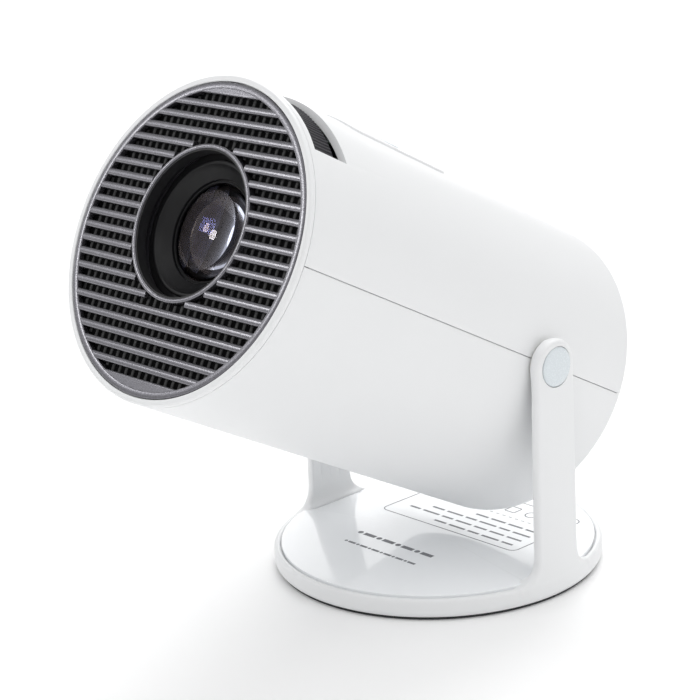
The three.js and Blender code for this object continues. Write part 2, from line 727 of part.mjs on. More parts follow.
place(body, 'optical_housing', opticalHousing(), blackPlastic);
for (const [name, panel] of Object.entries(panels)) place(body, name, opticPanel(panel), opticGlass);
place(body, 'condenser_lens',
  lens(condenserRadius, front + condenserDepth, front + condenserDepth + condenserThick - 4, 3, 0.6), opticGlass);
place(body, 'led_module', ledModule(), aluminium);
place(body, 'heat_sink', heatSink(), aluminium);

// ---- body: fan --------------------------------------------------------------------------------

const fanBore = fanSize / 2 - fanWall;

// Square frame with a round duct, four struts and the motor seat.
function fanFrame() {
  const frame = prismY(roundedRect(fanSize, fanSize, 4, [0, fanRise]), fanFront, fanBack);
  const duct = roundY(fanBore, fanFront - 1, fanBack + 1, [0, fanRise], fine);
  const seat = roundY(fanHub, fanBack - 1.6, fanBack, [0, fanRise], fine);
  const struts = [45, 135].map((angle) => {
    const bar = new THREE.BoxGeometry(fanBore * 2 + 1, 1.6, 2.4).rotateY(THREE.MathUtils.degToRad(angle));
    return solid(bar.translate(0, fanBack - 0.8, fanRise));
  });
  return join(cut(frame, duct), seat, ...struts);
}

// Hub with slanted blades.
function fanRotor() {
  const [start, end] = [fanFront + 1, fanBack - 1.6 - fitGap];
  const hub = roundY(fanHub, start, end, [0, fanRise], fine);
  const blades = [];
  const reach = fanBore - 0.8 - fanHub;
  for (let i = 0; i < bladeCount; i += 1) {
    const blade = new THREE.BoxGeometry(bladeThick, (end - start) * 1.05, reach + 2);
    blade.rotateZ(THREE.MathUtils.degToRad(38)).translate(0, (start + end) / 2, fanHub - 2 + (reach + 2) / 2);
    blade.rotateY(i * Math.PI * 2 / bladeCount).translate(0, 0, fanRise);
    blades.push(solid(blade));
  }
  return join(hub, ...blades).intersect(roundY(fanBore - 0.6, start, end, [0, fanRise], fine));
}

place(body, 'fan_frame', fanFrame(), blackPlastic);
place(body, 'fan_rotor', fanRotor(), blackPlastic);

// ---- body: boards, speaker, sockets ------------------------------------------------------------

const boardBack = rearInner - 1;
const socketFace = rearFace - 0.1;

function mainBoard() {
  const top = -mainBoardDrop + boardThick;
  const half = Math.sqrt(shellInner ** 2 - mainBoardDrop ** 2) - boardEdgeGap;
  const plain = box([-half, boardBack - mainBoardLength, -mainBoardDrop], [half, boardBack, top]);
  const deep = rearInner - screwLength - 2;
  const bosses = screwPlaces.map((at) => roundY(screwBoss + fitGap, deep, bodyRear, at));
  const board = cut(plain, ...bosses);
  const chips = Object.values(mainChips).map(({ across: [x0, x1], ahead: [y0, y1], height }) =>
    box([x0, boardBack - y0, top - sunk], [x1, boardBack - y1, top + height]));
  return join(board, ...chips);
}

// Mains supply: transformer and capacitor on their own board.
function powerBoard() {
  const top = -powerBoardDrop + boardThick;
  const half = powerBoardWidth / 2;
  const end = boardBack - powerBoardSetBack;
  const start = end - powerBoardLength;
  const board = box([-half, start, -powerBoardDrop], [half, end, top]);
  const { across: [x0, x1], along: [y0, y1], height } = transformer;
  const core = box([x0, start + y0, -powerBoardDrop - height], [x1, start + y1, -powerBoardDrop + sunk]);
  const can = roundY(capacitor.radius, start + capacitor.along[0], start + capacitor.along[1],
    [capacitor.across, -powerBoardDrop - capacitor.radius + 2 * sunk], 16);
  return join(board, core, can);
}

function speaker() {
  const { width, depth, low, high, ahead } = speakerBox;
  const start = front + tunnelFront - ahead;
  return box([-width / 2, start, low], [width / 2, start + depth, high]);
}

// A socket shell with a contact tongue inside.
function socket({ at: [x, z], size: [width, height], depth, shell, tongue }) {
  const [w, h] = [width / 2, height / 2];
  const start = socketFace - depth;
  const can = cut(box([x - w, start, z - h], [x + w, socketFace, z + h]),
    box([x - w + shell, start + 1.5, z - h + shell], [x + w - shell, socketFace + 1, z + h - shell]));
  const reach = w - shell - 1.2;
  const bar = box([x - reach, start + 1, z - tongue / 2], [x + reach, socketFace - 1.5, z + tongue / 2]);
  return join(can, bar);
}

const socketRow = -mainBoardDrop + boardThick + fitGap;
const sockets = {               // centre, outer size, depth, wall, and thickness of the contact tongue
  hdmi: { at: [-19, socketRow + 3.1], size: [15.2, 6.2], depth: 12, shell: 0.5, tongue: 1.2 },
  usb: { at: [2, socketRow + 3.5], size: [14.4, 7], depth: 14, shell: 0.6, tongue: 1.8 },
};
const jack = { at: [19, socketRow + 3], radius: 3, depth: 11, block: 6.8, bore: 1.8 };
const inlet = { at: [0, -41], size: [19.6, 10.8], pinSpacing: 8.6, pin: 1.2, depth: 15, wall: 1.2 };
const irWindow = { at: [-24, -35], size: [9, 5], corner: 1.5, depth: 4 };

function audioJack() {
  const [x, z] = jack.at;
  const start = socketFace - jack.depth;
  const half = jack.block / 2;
  const block = join(box([x - half, start, z - jack.radius], [x + half, rearInner - fitGap, z + jack.radius]),
    roundY(jack.radius - 0.2, rearInner - 1, socketFace, jack.at, 24));
  return cut(block, roundY(jack.bore, start + 2, socketFace + 1, jack.at, 20));
}

// Figure-eight mains inlet: two pins in an oval hollow.
function powerInlet() {
  const { at: [x, z], size: [width, height], pinSpacing, pin, depth, wall: shell } = inlet;
  const start = socketFace - depth;
  const can = prismY(roundedRect(width, height, height / 2 - 0.1, inlet.at), start, socketFace);
  const inside = roundedRect(width - 2 * shell, height - 2 * shell, height / 2 - shell - 0.1, inlet.at);
  const hollow = prismY(inside, start + 2, socketFace + 1);
  const pins = [-1, 1].map((sign) =>
    roundY(pin, start + 1, socketFace - 2, [x + sign * pinSpacing / 2, z], 16));
  return join(cut(can, hollow), ...pins);
}

place(body, 'main_board', mainBoard(), boardGreen);
place(body, 'power_board', powerBoard(), boardGreen);
place(body, 'speaker', speaker(), blackPlastic);
place(body, 'hdmi_port', socket(sockets.hdmi), steel);
place(body, 'usb_port', socket(sockets.usb), steel);
place(body, 'audio_jack', audioJack(), blackPlastic);
place(body, 'power_inlet', powerInlet(), blackPlastic);
const irOutline = roundedRect(...irWindow.size, irWindow.corner, irWindow.at);
place(body, 'ir_window', prismY(irOutline, socketFace - irWindow.depth, socketFace), blackPlastic);

// ---- body: back cover -------------------------------------------------------------------------

function rearCover() {
  const disc = roundY(shellInner - fitGap, rearInner, rearFace, [0, 0], around);
  const field = roundY(rearFieldRadius, rearInner - 1, rearFace + 1, [0, 0], around);
  const half = rearRibWidth / 2;
  const rib = box([-half, rearInner - 2, -bodyRadius], [half, rearFace + 2, bodyRadius]);
  const vents = [];
  for (let i = 0; i < rearSlotCount; i += 1) {
    const low = rearSlotFirst + i * rearSlotPitch;
    vents.push(box([-bodyRadius, rearInner - 1, low], [bodyRadius, rearFace + 1, low + rearSlotHeight]));
  }
  const open = cut(join(...vents).intersect(field), rib);
  const through = (outline) => prismY(outline, rearInner - 1, rearFace + 1);
  const grow = 2 * fitGap;
  const opening = ({ at, size: [w, h] }, corner) => through(roundedRect(w + grow, h + grow, corner, at));
  const windows = [opening(sockets.hdmi, 0.6), opening(sockets.usb, 0.6), opening(irWindow, irWindow.corner),
    opening(inlet, (inlet.size[1] + grow) / 2 - 0.1)];
  return cut(disc, open, ...windows,
    roundY(jack.radius + 0.1, rearInner - 1, rearFace + 1, jack.at, 24),
    ...screwPlaces.map((at) => roundY(screwShank + 0.3, rearInner - 1, rearFace + 1, at)),
    ...screwPlaces.map((at) => roundY(screwHead + 0.2, rearFace - 1.2, rearFace + 1, at)));
}

function rearScrew(at) {
  const head = roundY(screwHead, rearFace - 1, rearFace, at);
  return join(head, roundY(screwShank, rearInner - screwLength + 1.5, rearFace - 0.5, at));
}

place(body, 'rear_cover', rearCover(), whiteShell);
screwPlaces.forEach((at, i) => place(body, `rear_screw_${i + 1}`, rearScrew(at), steel));

// ---- body: keypad -----------------------------------------------------------------------------

function keypadPanel() {
  const plate = arcBlock(padInner, bodyRadius + padProud, 60, -padFront, -padFront + padLength)
    .intersect(box([-padHalfWidth, front, 0], [padHalfWidth, bodyRear, bodyRadius * 2]));
  const holes = Object.values(keys).map((at) => keyBar(at, keyRadius + 0.3, padInner - 3, bodyRadius + 5));
  return cut(plate, ...holes);
}

function keypadBoard() {
  const half = padHalfWidth - 2.5;
  const [start, end] = [4 - padFront, padLength - padFront - 4];
  return box([-half, start, keyBoardTop - keyBoardThick], [half, end, keyBoardTop]);
}

place(body, 'keypad_panel', keypadPanel(), whiteShell);
place(body, 'keypad_board', keypadBoard(), boardGreen);
for (const [name, at] of Object.entries(keys)) {
  const top = bodyRadius + padProud + keyProud;
  place(body, name, keyBar(at, keyRadius, top - keyLength, top), whiteShell);
}

export default projector;
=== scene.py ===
"""Home projector: the looks of a tube-shaped projector on a tilting stand, laid out as an add-on."""

import json
import math

import bmesh
import bpy
from bpy.props import FloatProperty, FloatVectorProperty, IntProperty, PointerProperty
from mathutils import Matrix, Vector


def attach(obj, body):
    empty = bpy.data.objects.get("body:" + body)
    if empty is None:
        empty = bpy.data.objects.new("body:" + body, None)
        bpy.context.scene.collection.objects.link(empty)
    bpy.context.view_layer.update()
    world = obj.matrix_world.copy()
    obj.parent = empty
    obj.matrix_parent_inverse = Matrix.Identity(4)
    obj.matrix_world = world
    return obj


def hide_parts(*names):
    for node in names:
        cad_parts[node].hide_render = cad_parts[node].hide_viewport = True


bl_info = {
    "name": "Home projector",
    "version": (1, 0, 0),
    "blender": (4, 5, 0),
    "location": "View3D > Sidebar > Projector",
    "description": "Builds a tilting home projector around its fixed frame",
    "category": "Object",
}

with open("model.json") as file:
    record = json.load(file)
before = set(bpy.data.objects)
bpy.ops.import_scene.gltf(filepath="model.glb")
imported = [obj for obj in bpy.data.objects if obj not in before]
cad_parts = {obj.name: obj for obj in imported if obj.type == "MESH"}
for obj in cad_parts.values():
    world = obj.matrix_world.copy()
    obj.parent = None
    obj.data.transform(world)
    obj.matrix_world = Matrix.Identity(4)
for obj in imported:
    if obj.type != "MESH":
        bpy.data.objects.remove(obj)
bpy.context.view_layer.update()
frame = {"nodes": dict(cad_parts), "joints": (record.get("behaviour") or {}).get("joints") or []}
NODES = frame["nodes"]
JOINTS = {joint["name"]: joint for joint in frame["joints"]}

# ---- places ------------------------------------------------------------------------------------------------
# Shapes are drawn in millimetres. WORLD is the row frame. BODY is the projector's own frame: its
# origin is the tilt pivot, +Y runs to the back of the tube and +Z to its top.

MM = 0.001
PIVOT = Vector(JOINTS["tilt"]["pos_m"])
AIM = Vector(JOINTS["focus_turn"]["axis"])
TILT = math.atan2(AIM.z, -AIM.y)
WORLD = Matrix.Scale(MM, 4)
BODY = Matrix.Translation(PIVOT) @ Matrix.Rotation(-TILT, 4, "X") @ WORLD
TO_UPRIGHT = Matrix.Rotation(math.radians(90), 4, "X")


def box_in(place, node):
    """Lowest and highest corner of a CAD node, in millimetres in one of the two frames."""
    back = place.inverted()
    corners = [back @ vertex.co for vertex in NODES[node].data.vertices]
    return [Vector(pick(c[i] for c in corners) for i in range(3)) for pick in (min, max)]


LENS_RISE = (BODY.inverted() @ Vector(JOINTS["focus_turn"]["pos_m"])).z
TUBE_LOW, TUBE_HIGH = box_in(BODY, "upper_shell")
FRONT = box_in(BODY, "front_bezel")[0].y
TUBE_RADIUS = TUBE_HIGH.z
TUBE_WALL = 2.5
PIVOT_UP = PIVOT.z / MM
ARM_OUT = box_in(WORLD, "arm_right")[1].x
PLATE_LOW, PLATE_HIGH = box_in(WORLD, "base_top_plate")
RIM_LOW, RIM_HIGH = box_in(WORLD, "base_frame")
RIM_RADIUS = RIM_HIGH.x
COLLAR_INNER = 24.06
COLLAR_OUTER = 26.06
LINER_OUTER = 24.6
WHEEL_WIDTH = 13.4
ARM_THICK = 3.3
ARM_FOOT = 10.0                     # half the arm's length along the base, and its flares each way
ARM_FLARE = 8.0
CAP_RADIUS = 6.8
GRILLE_INNER = 49.3
WINDOW = (4.4, 19.0, 48.5)          # front edge, back edge behind the front face; degrees each way


# ---- what a user would change ------------------------------------------------------------------------------


def linear(code):
    """A colour for a shader from an sRGB hex code."""
    parts = [int(code[i:i + 2], 16) / 255 for i in (0, 2, 4)]
    return [p / 12.92 if p <= 0.04045 else ((p + 0.055) / 1.055) ** 2.4 for p in parts] + [1.0]


def length(name, text, millimetres):
    return FloatProperty(name=name, description=text, default=millimetres * MM, min=0.0, unit="LENGTH",
                         precision=5)


def colour(name, text, code):
    return FloatVectorProperty(name=name, description=text, default=linear(code), size=4, min=0.0, max=1.0,
                               subtype="COLOR")


class ProjectorSizes(bpy.types.PropertyGroup):
    """Sizes that change the looks and not the fit."""

    slat_height: length("Slat height", "Height of one slat of the front grille", 2.49)
    slat_round: length("Slat rounding", "Rounding of a slat's upper front edge", 1.0)
    slat_pitch: length("Slat pitch", "From one slat of the front grille to the next", 4.54)
    screen_pitch: length("Screen pitch", "From one upright bar behind the grille to the next", 3.3)
    rib_pitch: length("Rib pitch", "From one grip rib of the focus wheel to the next", 1.5)
    bezel_round: length("Front ring rounding", "Rounding of the white ring round the front", 0.9)
    arm_round: length("Arm rounding", "Rounding along the edges of the stand's arms", 1.0)
    vent_count: IntProperty(name="Vents", description="Rows of vents in the back cover", default=12, min=1,
                            max=14)


class ProjectorColours(bpy.types.PropertyGroup):
    """Colours of the main finishes."""

    shell: colour("Shell", "Moulded white shells, ring, stand", "ECEDEE")
    # Painted light in part: the plate's white is set lighter than the shell's white to stand in for light on
    # the plate under the body.
    plate: colour("Base plate", "Polished plate on the base", "F7F9FB")
    cap: colour("Arm caps", "Round caps on the arms", "DDE4E8")
    grille: colour("Grille", "Painted front grille", "737278")
    black: colour("Black parts", "Black mouldings", "121214")
    wheel: colour("Focus wheel", "Charcoal moulding of the wheel", "343338")
    print_ink: colour("Printing", "Marks printed on the base and keys", "63656A")
    floor: colour("Floor", "Studio floor", "FBFBFB")


def sizes():
    return bpy.context.scene.projector_sizes


def colours():
    return bpy.context.scene.projector_colours


# ---- nodes and finishes ------------------------------------------------------------------------------------


def add_node(tree, kind, inputs=None, to=None, out=0, **settings):
    """Adds one node with its settings, its input values or links, and the link from its output."""
    made = tree.nodes.new(kind)
    for key, value in settings.items():
        setattr(made, key, value)
    for key, value in (inputs or {}).items():
        if isinstance(value, bpy.types.NodeSocket):
            tree.links.new(value, made.inputs[key])
        else:
            made.inputs[key].default_value = value
    if to:
        tree.links.new(made.outputs[out], to)
    return made.outputs[out] if made.outputs else None


def begin(name, **constants):
    """A new material, its nodes, its shader's inputs, and the piece's own coordinates in millimetres."""
    material = bpy.data.materials.new(name)
    material.use_nodes = True
    tree = material.node_tree
    tree.nodes.clear()
    surface = add_node(tree, "ShaderNodeBsdfPrincipled", constants)
    add_node(tree, "ShaderNodeOutputMaterial", {"Surface": surface})
    metres = add_node(tree, "ShaderNodeTexCoord", out="Object")
    place = add_node(tree, "ShaderNodeMapping", {"Vector": metres, "Scale": (1000, 1000, 1000)})
    return material, tree, surface.node.inputs, place


# Noise lies between these two values almost everywhere.
NOISE = {"From Min": 0.3, "From Max": 0.7}
# A wave pattern of this scale repeats once in a millimetre.
WAVE = 0.31


def dress(tree, shader, colour=None, gloss=None, relief=None, values=NOISE):
    """Joins patterns to a shader: colour is (share, two tones), gloss is (pattern, roughest and smoothest in
    rising order) and relief is (pattern, depth in millimetres, strength). Values is the pattern's range."""
    if colour:
        share, first, second = colour
        add_node(tree, "ShaderNodeMix", {0: share, 6: first, 7: second}, shader["Base Color"], 2,
                 data_type="RGBA")
    if gloss:
        pattern, low, high = gloss
        add_node(tree, "ShaderNodeMapRange", {"Value": pattern, **values, "To Min": low, "To Max": high},
                 shader["Roughness"])
    if relief:
        height, depth, strength = relief
        add_node(tree, "ShaderNodeBump", {"Height": height, "Distance": depth * MM, "Strength": strength},
                 shader["Normal"])


def shade(base, factor):
    return [c * factor for c in base[:3]] + [1.0]


def spark_textured_abs(name):
    # Injection-moulded white ABS from a spark-eroded tool: satin, with an even, very fine grain.
    # The real grain is about 0.1 mm, and it is drawn at 0.3 mm so that it shows at all.
    white = colours().shell
    material, tree, shader, place = begin(name, **{"IOR": 1.53})
    grain = add_node(tree, "ShaderNodeTexNoise", {"Vector": place, "Scale": 1 / 0.3})
    drift = add_node(tree, "ShaderNodeTexNoise", {"Vector": place, "Scale": 1 / 38, "Detail": 1.0})
    dress(tree, shader, (drift, shade(white, 0.985), white), (grain, 0.36, 0.44), (grain, 0.012, 0.5))
    return material


def polished_abs(name):
    # White ABS from a polished tool: glossy, with the faint waves of moulded sheet over 20 to 30 mm.
    # Partly painted light: this white is lighter than the shells' white to stand in for light on the plate
    # under the body.
    white = colours().plate
    material, tree, shader, place = begin(name, **{"IOR": 1.53, "Coat Weight": 0.5, "Coat Roughness": 0.04})
    wave = add_node(tree, "ShaderNodeTexNoise", {"Vector": place, "Scale": 1 / 24, "Detail": 0.0})
    haze = add_node(tree, "ShaderNodeTexNoise", {"Vector": place, "Scale": 1 / 1.2})
    dress(tree, shader, (wave, shade(white, 0.985), white), (haze, 0.08, 0.14), (wave, 0.06, 0.6))
    return material


def satin_polycarbonate(name):
    # Moulded polycarbonate cap, a little bluer and smoother than the shells, faintly cloudy.
    tint = colours().cap
    material, tree, shader, place = begin(name, **{"IOR": 1.58})
    cloud = add_node(tree, "ShaderNodeTexNoise", {"Vector": place, "Scale": 1 / 5})
    grain = add_node(tree, "ShaderNodeTexNoise", {"Vector": place, "Scale": 1 / 0.4})
    dress(tree, shader, (cloud, shade(tint, 0.98), tint), (grain, 0.22, 0.3), (cloud, 0.01, 0.4))
    return material


def metallic_paint(name):
    # ABS sprayed with grey metallic paint: flakes under a clear coat. The real flakes are about
    # 0.05 mm, and they are drawn at 0.3 mm so that they show.
    grey = colours().grille
    settings = {"Metallic": 0.88, "IOR": 1.5, "Coat Weight": 0.7, "Coat Roughness": 0.16}
    material, tree, shader, place = begin(name, **settings)
    flakes = add_node(tree, "ShaderNodeTexVoronoi", {"Vector": place, "Scale": 1 / 0.3}, out="Color")
    tone = add_node(tree, "ShaderNodeSeparateColor", {0: flakes})
    orange_peel = add_node(tree, "ShaderNodeTexNoise", {"Vector": place, "Scale": 1 / 0.9})
    dress(tree, shader, (tone, shade(grey, 0.88), shade(grey, 1.14)), (tone.node.outputs[1], 0.26, 0.36),
          (orange_peel, 0.01, 0.5), {})
    return material


def black_moulded_abs(name):
    # Black ABS, lightly textured: dull, with a grey bloom where the grain catches the light.
    black = colours().black
    material, tree, shader, place = begin(name, **{"IOR": 1.53})
    grain = add_node(tree, "ShaderNodeTexNoise", {"Vector": place, "Scale": 1 / 0.4, "Detail": 3.0})
    share = add_node(tree, "ShaderNodeMapRange", {"Value": grain, **NOISE})
    dress(tree, shader, (share, shade(black, 0.8), shade(black, 1.5)), (grain, 0.42, 0.6), (grain, 0.02, 0.6))
    return material


def dust_cloth(name):
    # Black woven dust cloth: threads 0.5 mm apart that take nearly all the light between the slats.
    material, tree, shader, place = begin(name, **{"IOR": 1.45, "Specular IOR Level": 0.15})
    thread = {"Vector": place, "Scale": WAVE / 0.5}
    warp = add_node(tree, "ShaderNodeTexWave", thread, out=1)
    weft = add_node(tree, "ShaderNodeTexWave", thread, out=1, bands_direction="Z")
    weave = add_node(tree, "ShaderNodeMath", {0: warp, 1: weft}, operation="MULTIPLY")
    tones = (weave, linear("030304"), linear("0B0B0D"))
    dress(tree, shader, tones, (weave, 0.85, 1.0), (weave, 0.1, 0.5), {})
    return material


def charcoal_moulded_abs(name):
    # Charcoal ABS of the focus wheel: dull, with soft grain and a slight shine on the grip ribs.
    dark = colours().wheel
    material, tree, shader, place = begin(name, **{"IOR": 1.53})
    grain = add_node(tree, "ShaderNodeTexNoise", {"Vector": place, "Scale": 1 / 0.5})
    dress(tree, shader, (grain, shade(dark, 0.8), shade(dark, 1.2)), (grain, 0.4, 0.55), (grain, 0.02, 0.5))
    return material


def turned_black(name):
    # Lens barrel: matt black paint that takes stray light, over the fine rings of a turned tool,
    # 0.35 mm apart along the lens axis.
    material, tree, shader, place = begin(name, **{"IOR": 1.5, "Specular IOR Level": 0.3})
    along = add_node(tree, "ShaderNodeMapping", {"Vector": place, "Rotation": (TILT, 0, 0)})
    rings = add_node(tree, "ShaderNodeTexWave", {"Vector": along, "Scale": WAVE / 0.35, "Distortion": 0.2},
                     out=1, bands_direction="Y")
    tone = add_node(tree, "ShaderNodeTexNoise", {"Vector": place, "Scale": 1 / 3})
    dress(tree, shader, (tone, linear("08080A"), linear("111114")), (tone, 0.4, 0.5), (rings, 0.02, 0.35))
    return material


def coated_glass(name):
    # Crown glass with a quarter-wave anti-reflection layer, 105 nm of magnesium fluoride: clear, with
    # weak violet reflections, and the faintest haze.
    settings = {"IOR": 1.52, "Transmission Weight": 1.0, "Thin Film Thickness": 105.0, "Thin Film IOR": 1.38,
                "Base Color": linear("E8ECFF")}
    material, tree, shader, place = begin(name, **settings)
    haze = add_node(tree, "ShaderNodeTexNoise", {"Vector": place, "Scale": 1 / 6})
    dress(tree, shader, gloss=(haze, 0.0, 0.006))
    return material


def clear_glass(name):
    # Uncoated optical glass and acrylic of the inner lenses and filters, faintly hazy.
    settings = {"IOR": 1.49, "Transmission Weight": 1.0, "Base Color": linear("F2F6FA")}
    material, tree, shader, place = begin(name, **settings)
    haze = add_node(tree, "ShaderNodeTexNoise", {"Vector": place, "Scale": 1 / 8})
    dress(tree, shader, gloss=(haze, 0.01, 0.02))
    return material


def solder_mask(name):
    # Glass-fibre board under green solder mask: tracks a few millimetres apart show through the lacquer.
    material, tree, shader, place = begin(name, **{"IOR": 1.55, "Coat Weight": 0.4, "Coat Roughness": 0.2})
    board = {"Vector": place, "Scale": 0.25, "Mortar Size": 0.03, "Color1": linear("1C5A38"),
             "Color2": linear("236A43"), "Mortar": linear("2F8A57")}
    tracks = add_node(tree, "ShaderNodeTexBrick", board, shader["Base Color"])
    haze = add_node(tree, "ShaderNodeTexNoise", {"Vector": place, "Scale": 1 / 0.6})
    dress(tree, shader, None, (haze, 0.25, 0.4), (tracks.node.outputs[1], 0.03, 0.5))
    return material


def extruded_aluminium(name):
    # Extruded aluminium: drawn lines 0.4 mm apart along the fins, dull silver.
    material, tree, shader, place = begin(name, **{"Metallic": 1.0})
    long = add_node(tree, "ShaderNodeMapping", {"Vector": place, "Scale": (2.5, 0.1, 0.1)})
    lines = add_node(tree, "ShaderNodeTexNoise", {"Vector": long, "Scale": 1.0, "Detail": 3.0})
    dress(tree, shader, (lines, linear("A9ACB0"), linear("C4C7CB")), (lines, 0.3, 0.5), (lines, 0.02, 0.4))
    return material


def brushed_steel(name):
    # Nickel-plated steel with fine brush lines, 0.3 mm apart.
    material, tree, shader, place = begin(name, **{"Metallic": 1.0})
    drawn = add_node(tree, "ShaderNodeMapping", {"Vector": place, "Scale": (0.3, 3.3, 3.3)})
    lines = add_node(tree, "ShaderNodeTexNoise", {"Vector": drawn, "Scale": 1.0})
    dress(tree, shader, (lines, linear("B4B5B9"), linear("CFD0D3")), (lines, 0.22, 0.36), (lines, 0.01, 0.3))
    return material


def natural_nylon(name):
    # Natural nylon washer: cloudy off-white, waxy.
    material, tree, shader, place = begin(name, **{"IOR": 1.53, "Subsurface Weight": 0.15})
    cloud = add_node(tree, "ShaderNodeTexNoise", {"Vector": place, "Scale": 1 / 2.5})
    dress(tree, shader, (cloud, linear("DEDBD2"), linear("ECEAE2")), (cloud, 0.45, 0.6))
    return material


def foam_rubber(name):
    # Closed-cell rubber foot pad: dark grey, dull, with cells about 0.6 mm across.
    material, tree, shader, place = begin(name, **{"IOR": 1.52})
    cells = add_node(tree, "ShaderNodeTexVoronoi", {"Vector": place, "Scale": 1 / 0.6})
    dress(tree, shader, (cells, linear("2C2D2F"), linear("434447")), (cells, 0.75, 0.95), (cells, 0.08, 0.6),
          {"From Max": 0.8})
    return material


def printed_ink(name):
    # Pad-printed grey ink: a thin matt film, slightly uneven where the pad left less.
    ink = colours().print_ink
    material, tree, shader, place = begin(name, **{"IOR": 1.5})
    cover = add_node(tree, "ShaderNodeTexNoise", {"Vector": place, "Scale": 1 / 0.35, "Detail": 3.0})
    share = add_node(tree, "ShaderNodeMapRange", {"Value": cover, **NOISE})
    dress(tree, shader, (share, ink, shade(ink, 1.35)), (cover, 0.4, 0.6))
    return material


def lcd_film(name):
    # Polariser film on the small LCD panel: near-black, glossy, with its rows of cells.
    material, tree, shader, place = begin(name, **{"IOR": 1.5, "Coat Weight": 0.6, "Coat Roughness": 0.08})
    cells = {"Vector": place, "Scale": 0.6, "Mortar Size": 0.05, "Color1": linear("14161C"),
             "Color2": linear("171A22"), "Mortar": linear("08090B")}
    add_node(tree, "ShaderNodeTexBrick", cells, shader["Base Color"])
    haze = add_node(tree, "ShaderNodeTexNoise", {"Vector": place, "Scale": 1 / 2})
    dress(tree, shader, gloss=(haze, 0.1, 0.2))
    return material


def infrared_plastic(name):
    # Infrared-clear acrylic: almost black with a wine-red tone, glossy.
    material, tree, shader, place = begin(name, **{"IOR": 1.49, "Coat Weight": 0.5, "Coat Roughness": 0.05})
    tone = add_node(tree, "ShaderNodeTexNoise", {"Vector": place, "Scale": 1 / 4})
    dress(tree, shader, (tone, linear("14080B"), linear("1E0C10")), (tone, 0.06, 0.12))
    return material


def studio_floor(name):
    # Matt white painted board, with a barely visible roller texture of a few millimetres.
    white = colours().floor
    material, tree, shader, place = begin(name, **{"IOR": 1.45, "Specular IOR Level": 0.25})
    roll = add_node(tree, "ShaderNodeTexNoise", {"Vector": place, "Scale": 1 / 4, "Detail": 3.0})
    dress(tree, shader, (roll, shade(white, 0.995), white), (roll, 0.7, 0.8))
    return material


def finish(maker):
    """The material that one of the makers above gives, made once."""
    return bpy.data.materials.get(maker.__name__) or maker(maker.__name__)


# ---- mesh tools --------------------------------------------------------------------------------------------


def added(bm, before):
    return [vert for vert in bm.verts if vert not in before]


def spun(bm, profile, steps=128, sections=None, start=0.0, lift=0.0, upright=False):
    """Turns an outline of (radius, place along the axis) into a closed ring, disc or part of a ring.
    The axis is Y, raised by lift, or Z when upright. Sections are (degrees, steps) that follow each other."""
    before = set(bm.verts)
    turn = math.radians(start)
    line = [bm.verts.new((r * math.cos(turn), y, r * math.sin(turn))) for r, y in profile]
    edges = [bm.edges.new(pair) for pair in zip(line, line[1:])]
    if profile[0][0] or profile[-1][0]:
        edges.append(bm.edges.new((line[-1], line[0])))
    last = line + edges
    whole = sections is None
    for angle, count in sections or [(360, steps)]:
        last = bmesh.ops.spin(bm, geom=last, cent=(0, 0, 0), axis=(0, -1, 0), dvec=(0, 0, 0),
                              angle=math.radians(angle), steps=count, use_merge=whole,
                              use_duplicate=False)["geom_last"]
    made = added(bm, before)
    if not whole:
        bmesh.ops.edgeloop_fill(bm, edges=list({e for v in made for e in v.link_edges if e.is_boundary}))
    bmesh.ops.remove_doubles(bm, verts=made, dist=1e-4)
    made = added(bm, before)
    bmesh.ops.recalc_face_normals(bm, faces=list({f for v in made for f in v.link_faces}))
    if upright:
        bmesh.ops.transform(bm, matrix=TO_UPRIGHT, verts=made)
    bmesh.ops.translate(bm, vec=(0, 0, lift), verts=made)
    return made


def block(bm, low, high):
    """A box between two corners."""
    low, high = Vector(low), Vector(high)
    verts = bmesh.ops.create_cube(bm, size=1)["verts"]
    bmesh.ops.scale(bm, vec=high - low, verts=verts)
    bmesh.ops.translate(bm, vec=(low + high) / 2, verts=verts)
    return verts


def slab(bm, outline, y0, y1):
    """An outline in X and Z, given depth along Y."""
    before = set(bm.verts)
    face = bm.faces.new([bm.verts.new((x, y0, z)) for x, z in outline])
    made = bmesh.ops.extrude_face_region(bm, geom=[face])["geom"]
    bmesh.ops.translate(bm, vec=(0, y1 - y0, 0), verts=[g for g in made if isinstance(g, bmesh.types.BMVert)])
    made = added(bm, before)
    bmesh.ops.recalc_face_normals(bm, faces=list({f for v in made for f in v.link_faces}))
    return made


def arc(radius, start, end, steps, centre=(0, 0)):
    """Points on part of a circle, in degrees."""
    turns = [math.radians(start + (end - start) * i / steps) for i in range(steps + 1)]
    return [(centre[0] + radius * math.cos(t), centre[1] + radius * math.sin(t)) for t in turns]


def rounded(width, height, radius, centre=(0, 0), steps=5):
    """Outline of a rectangle with round corners."""
    x, z = width / 2 - radius, height / 2 - radius
    corners = [(x, z, 0), (-x, z, 90), (-x, -z, 180), (x, -z, 270)]
    return [point for cx, cz, turn in corners
            for point in arc(radius, turn, turn + 90, steps, (centre[0] + cx, centre[1] + cz))]


def soften(bm, width, where=None, segments=3, verts=None):
    """Rounds the sharp edges, all of them or those whose middle the test takes."""
    edges = {e for v in verts for e in v.link_edges} if verts else bm.edges
    chosen = [e for e in edges if e.is_manifold and e.calc_face_angle(0) > math.radians(32)
              and (where is None or where((e.verts[0].co + e.verts[1].co) / 2, e))]
    bmesh.ops.bevel(bm, geom=chosen, offset=width, offset_type="OFFSET", affect="EDGES", segments=segments,
                    profile=0.5, clamp_overlap=True, material=-1)


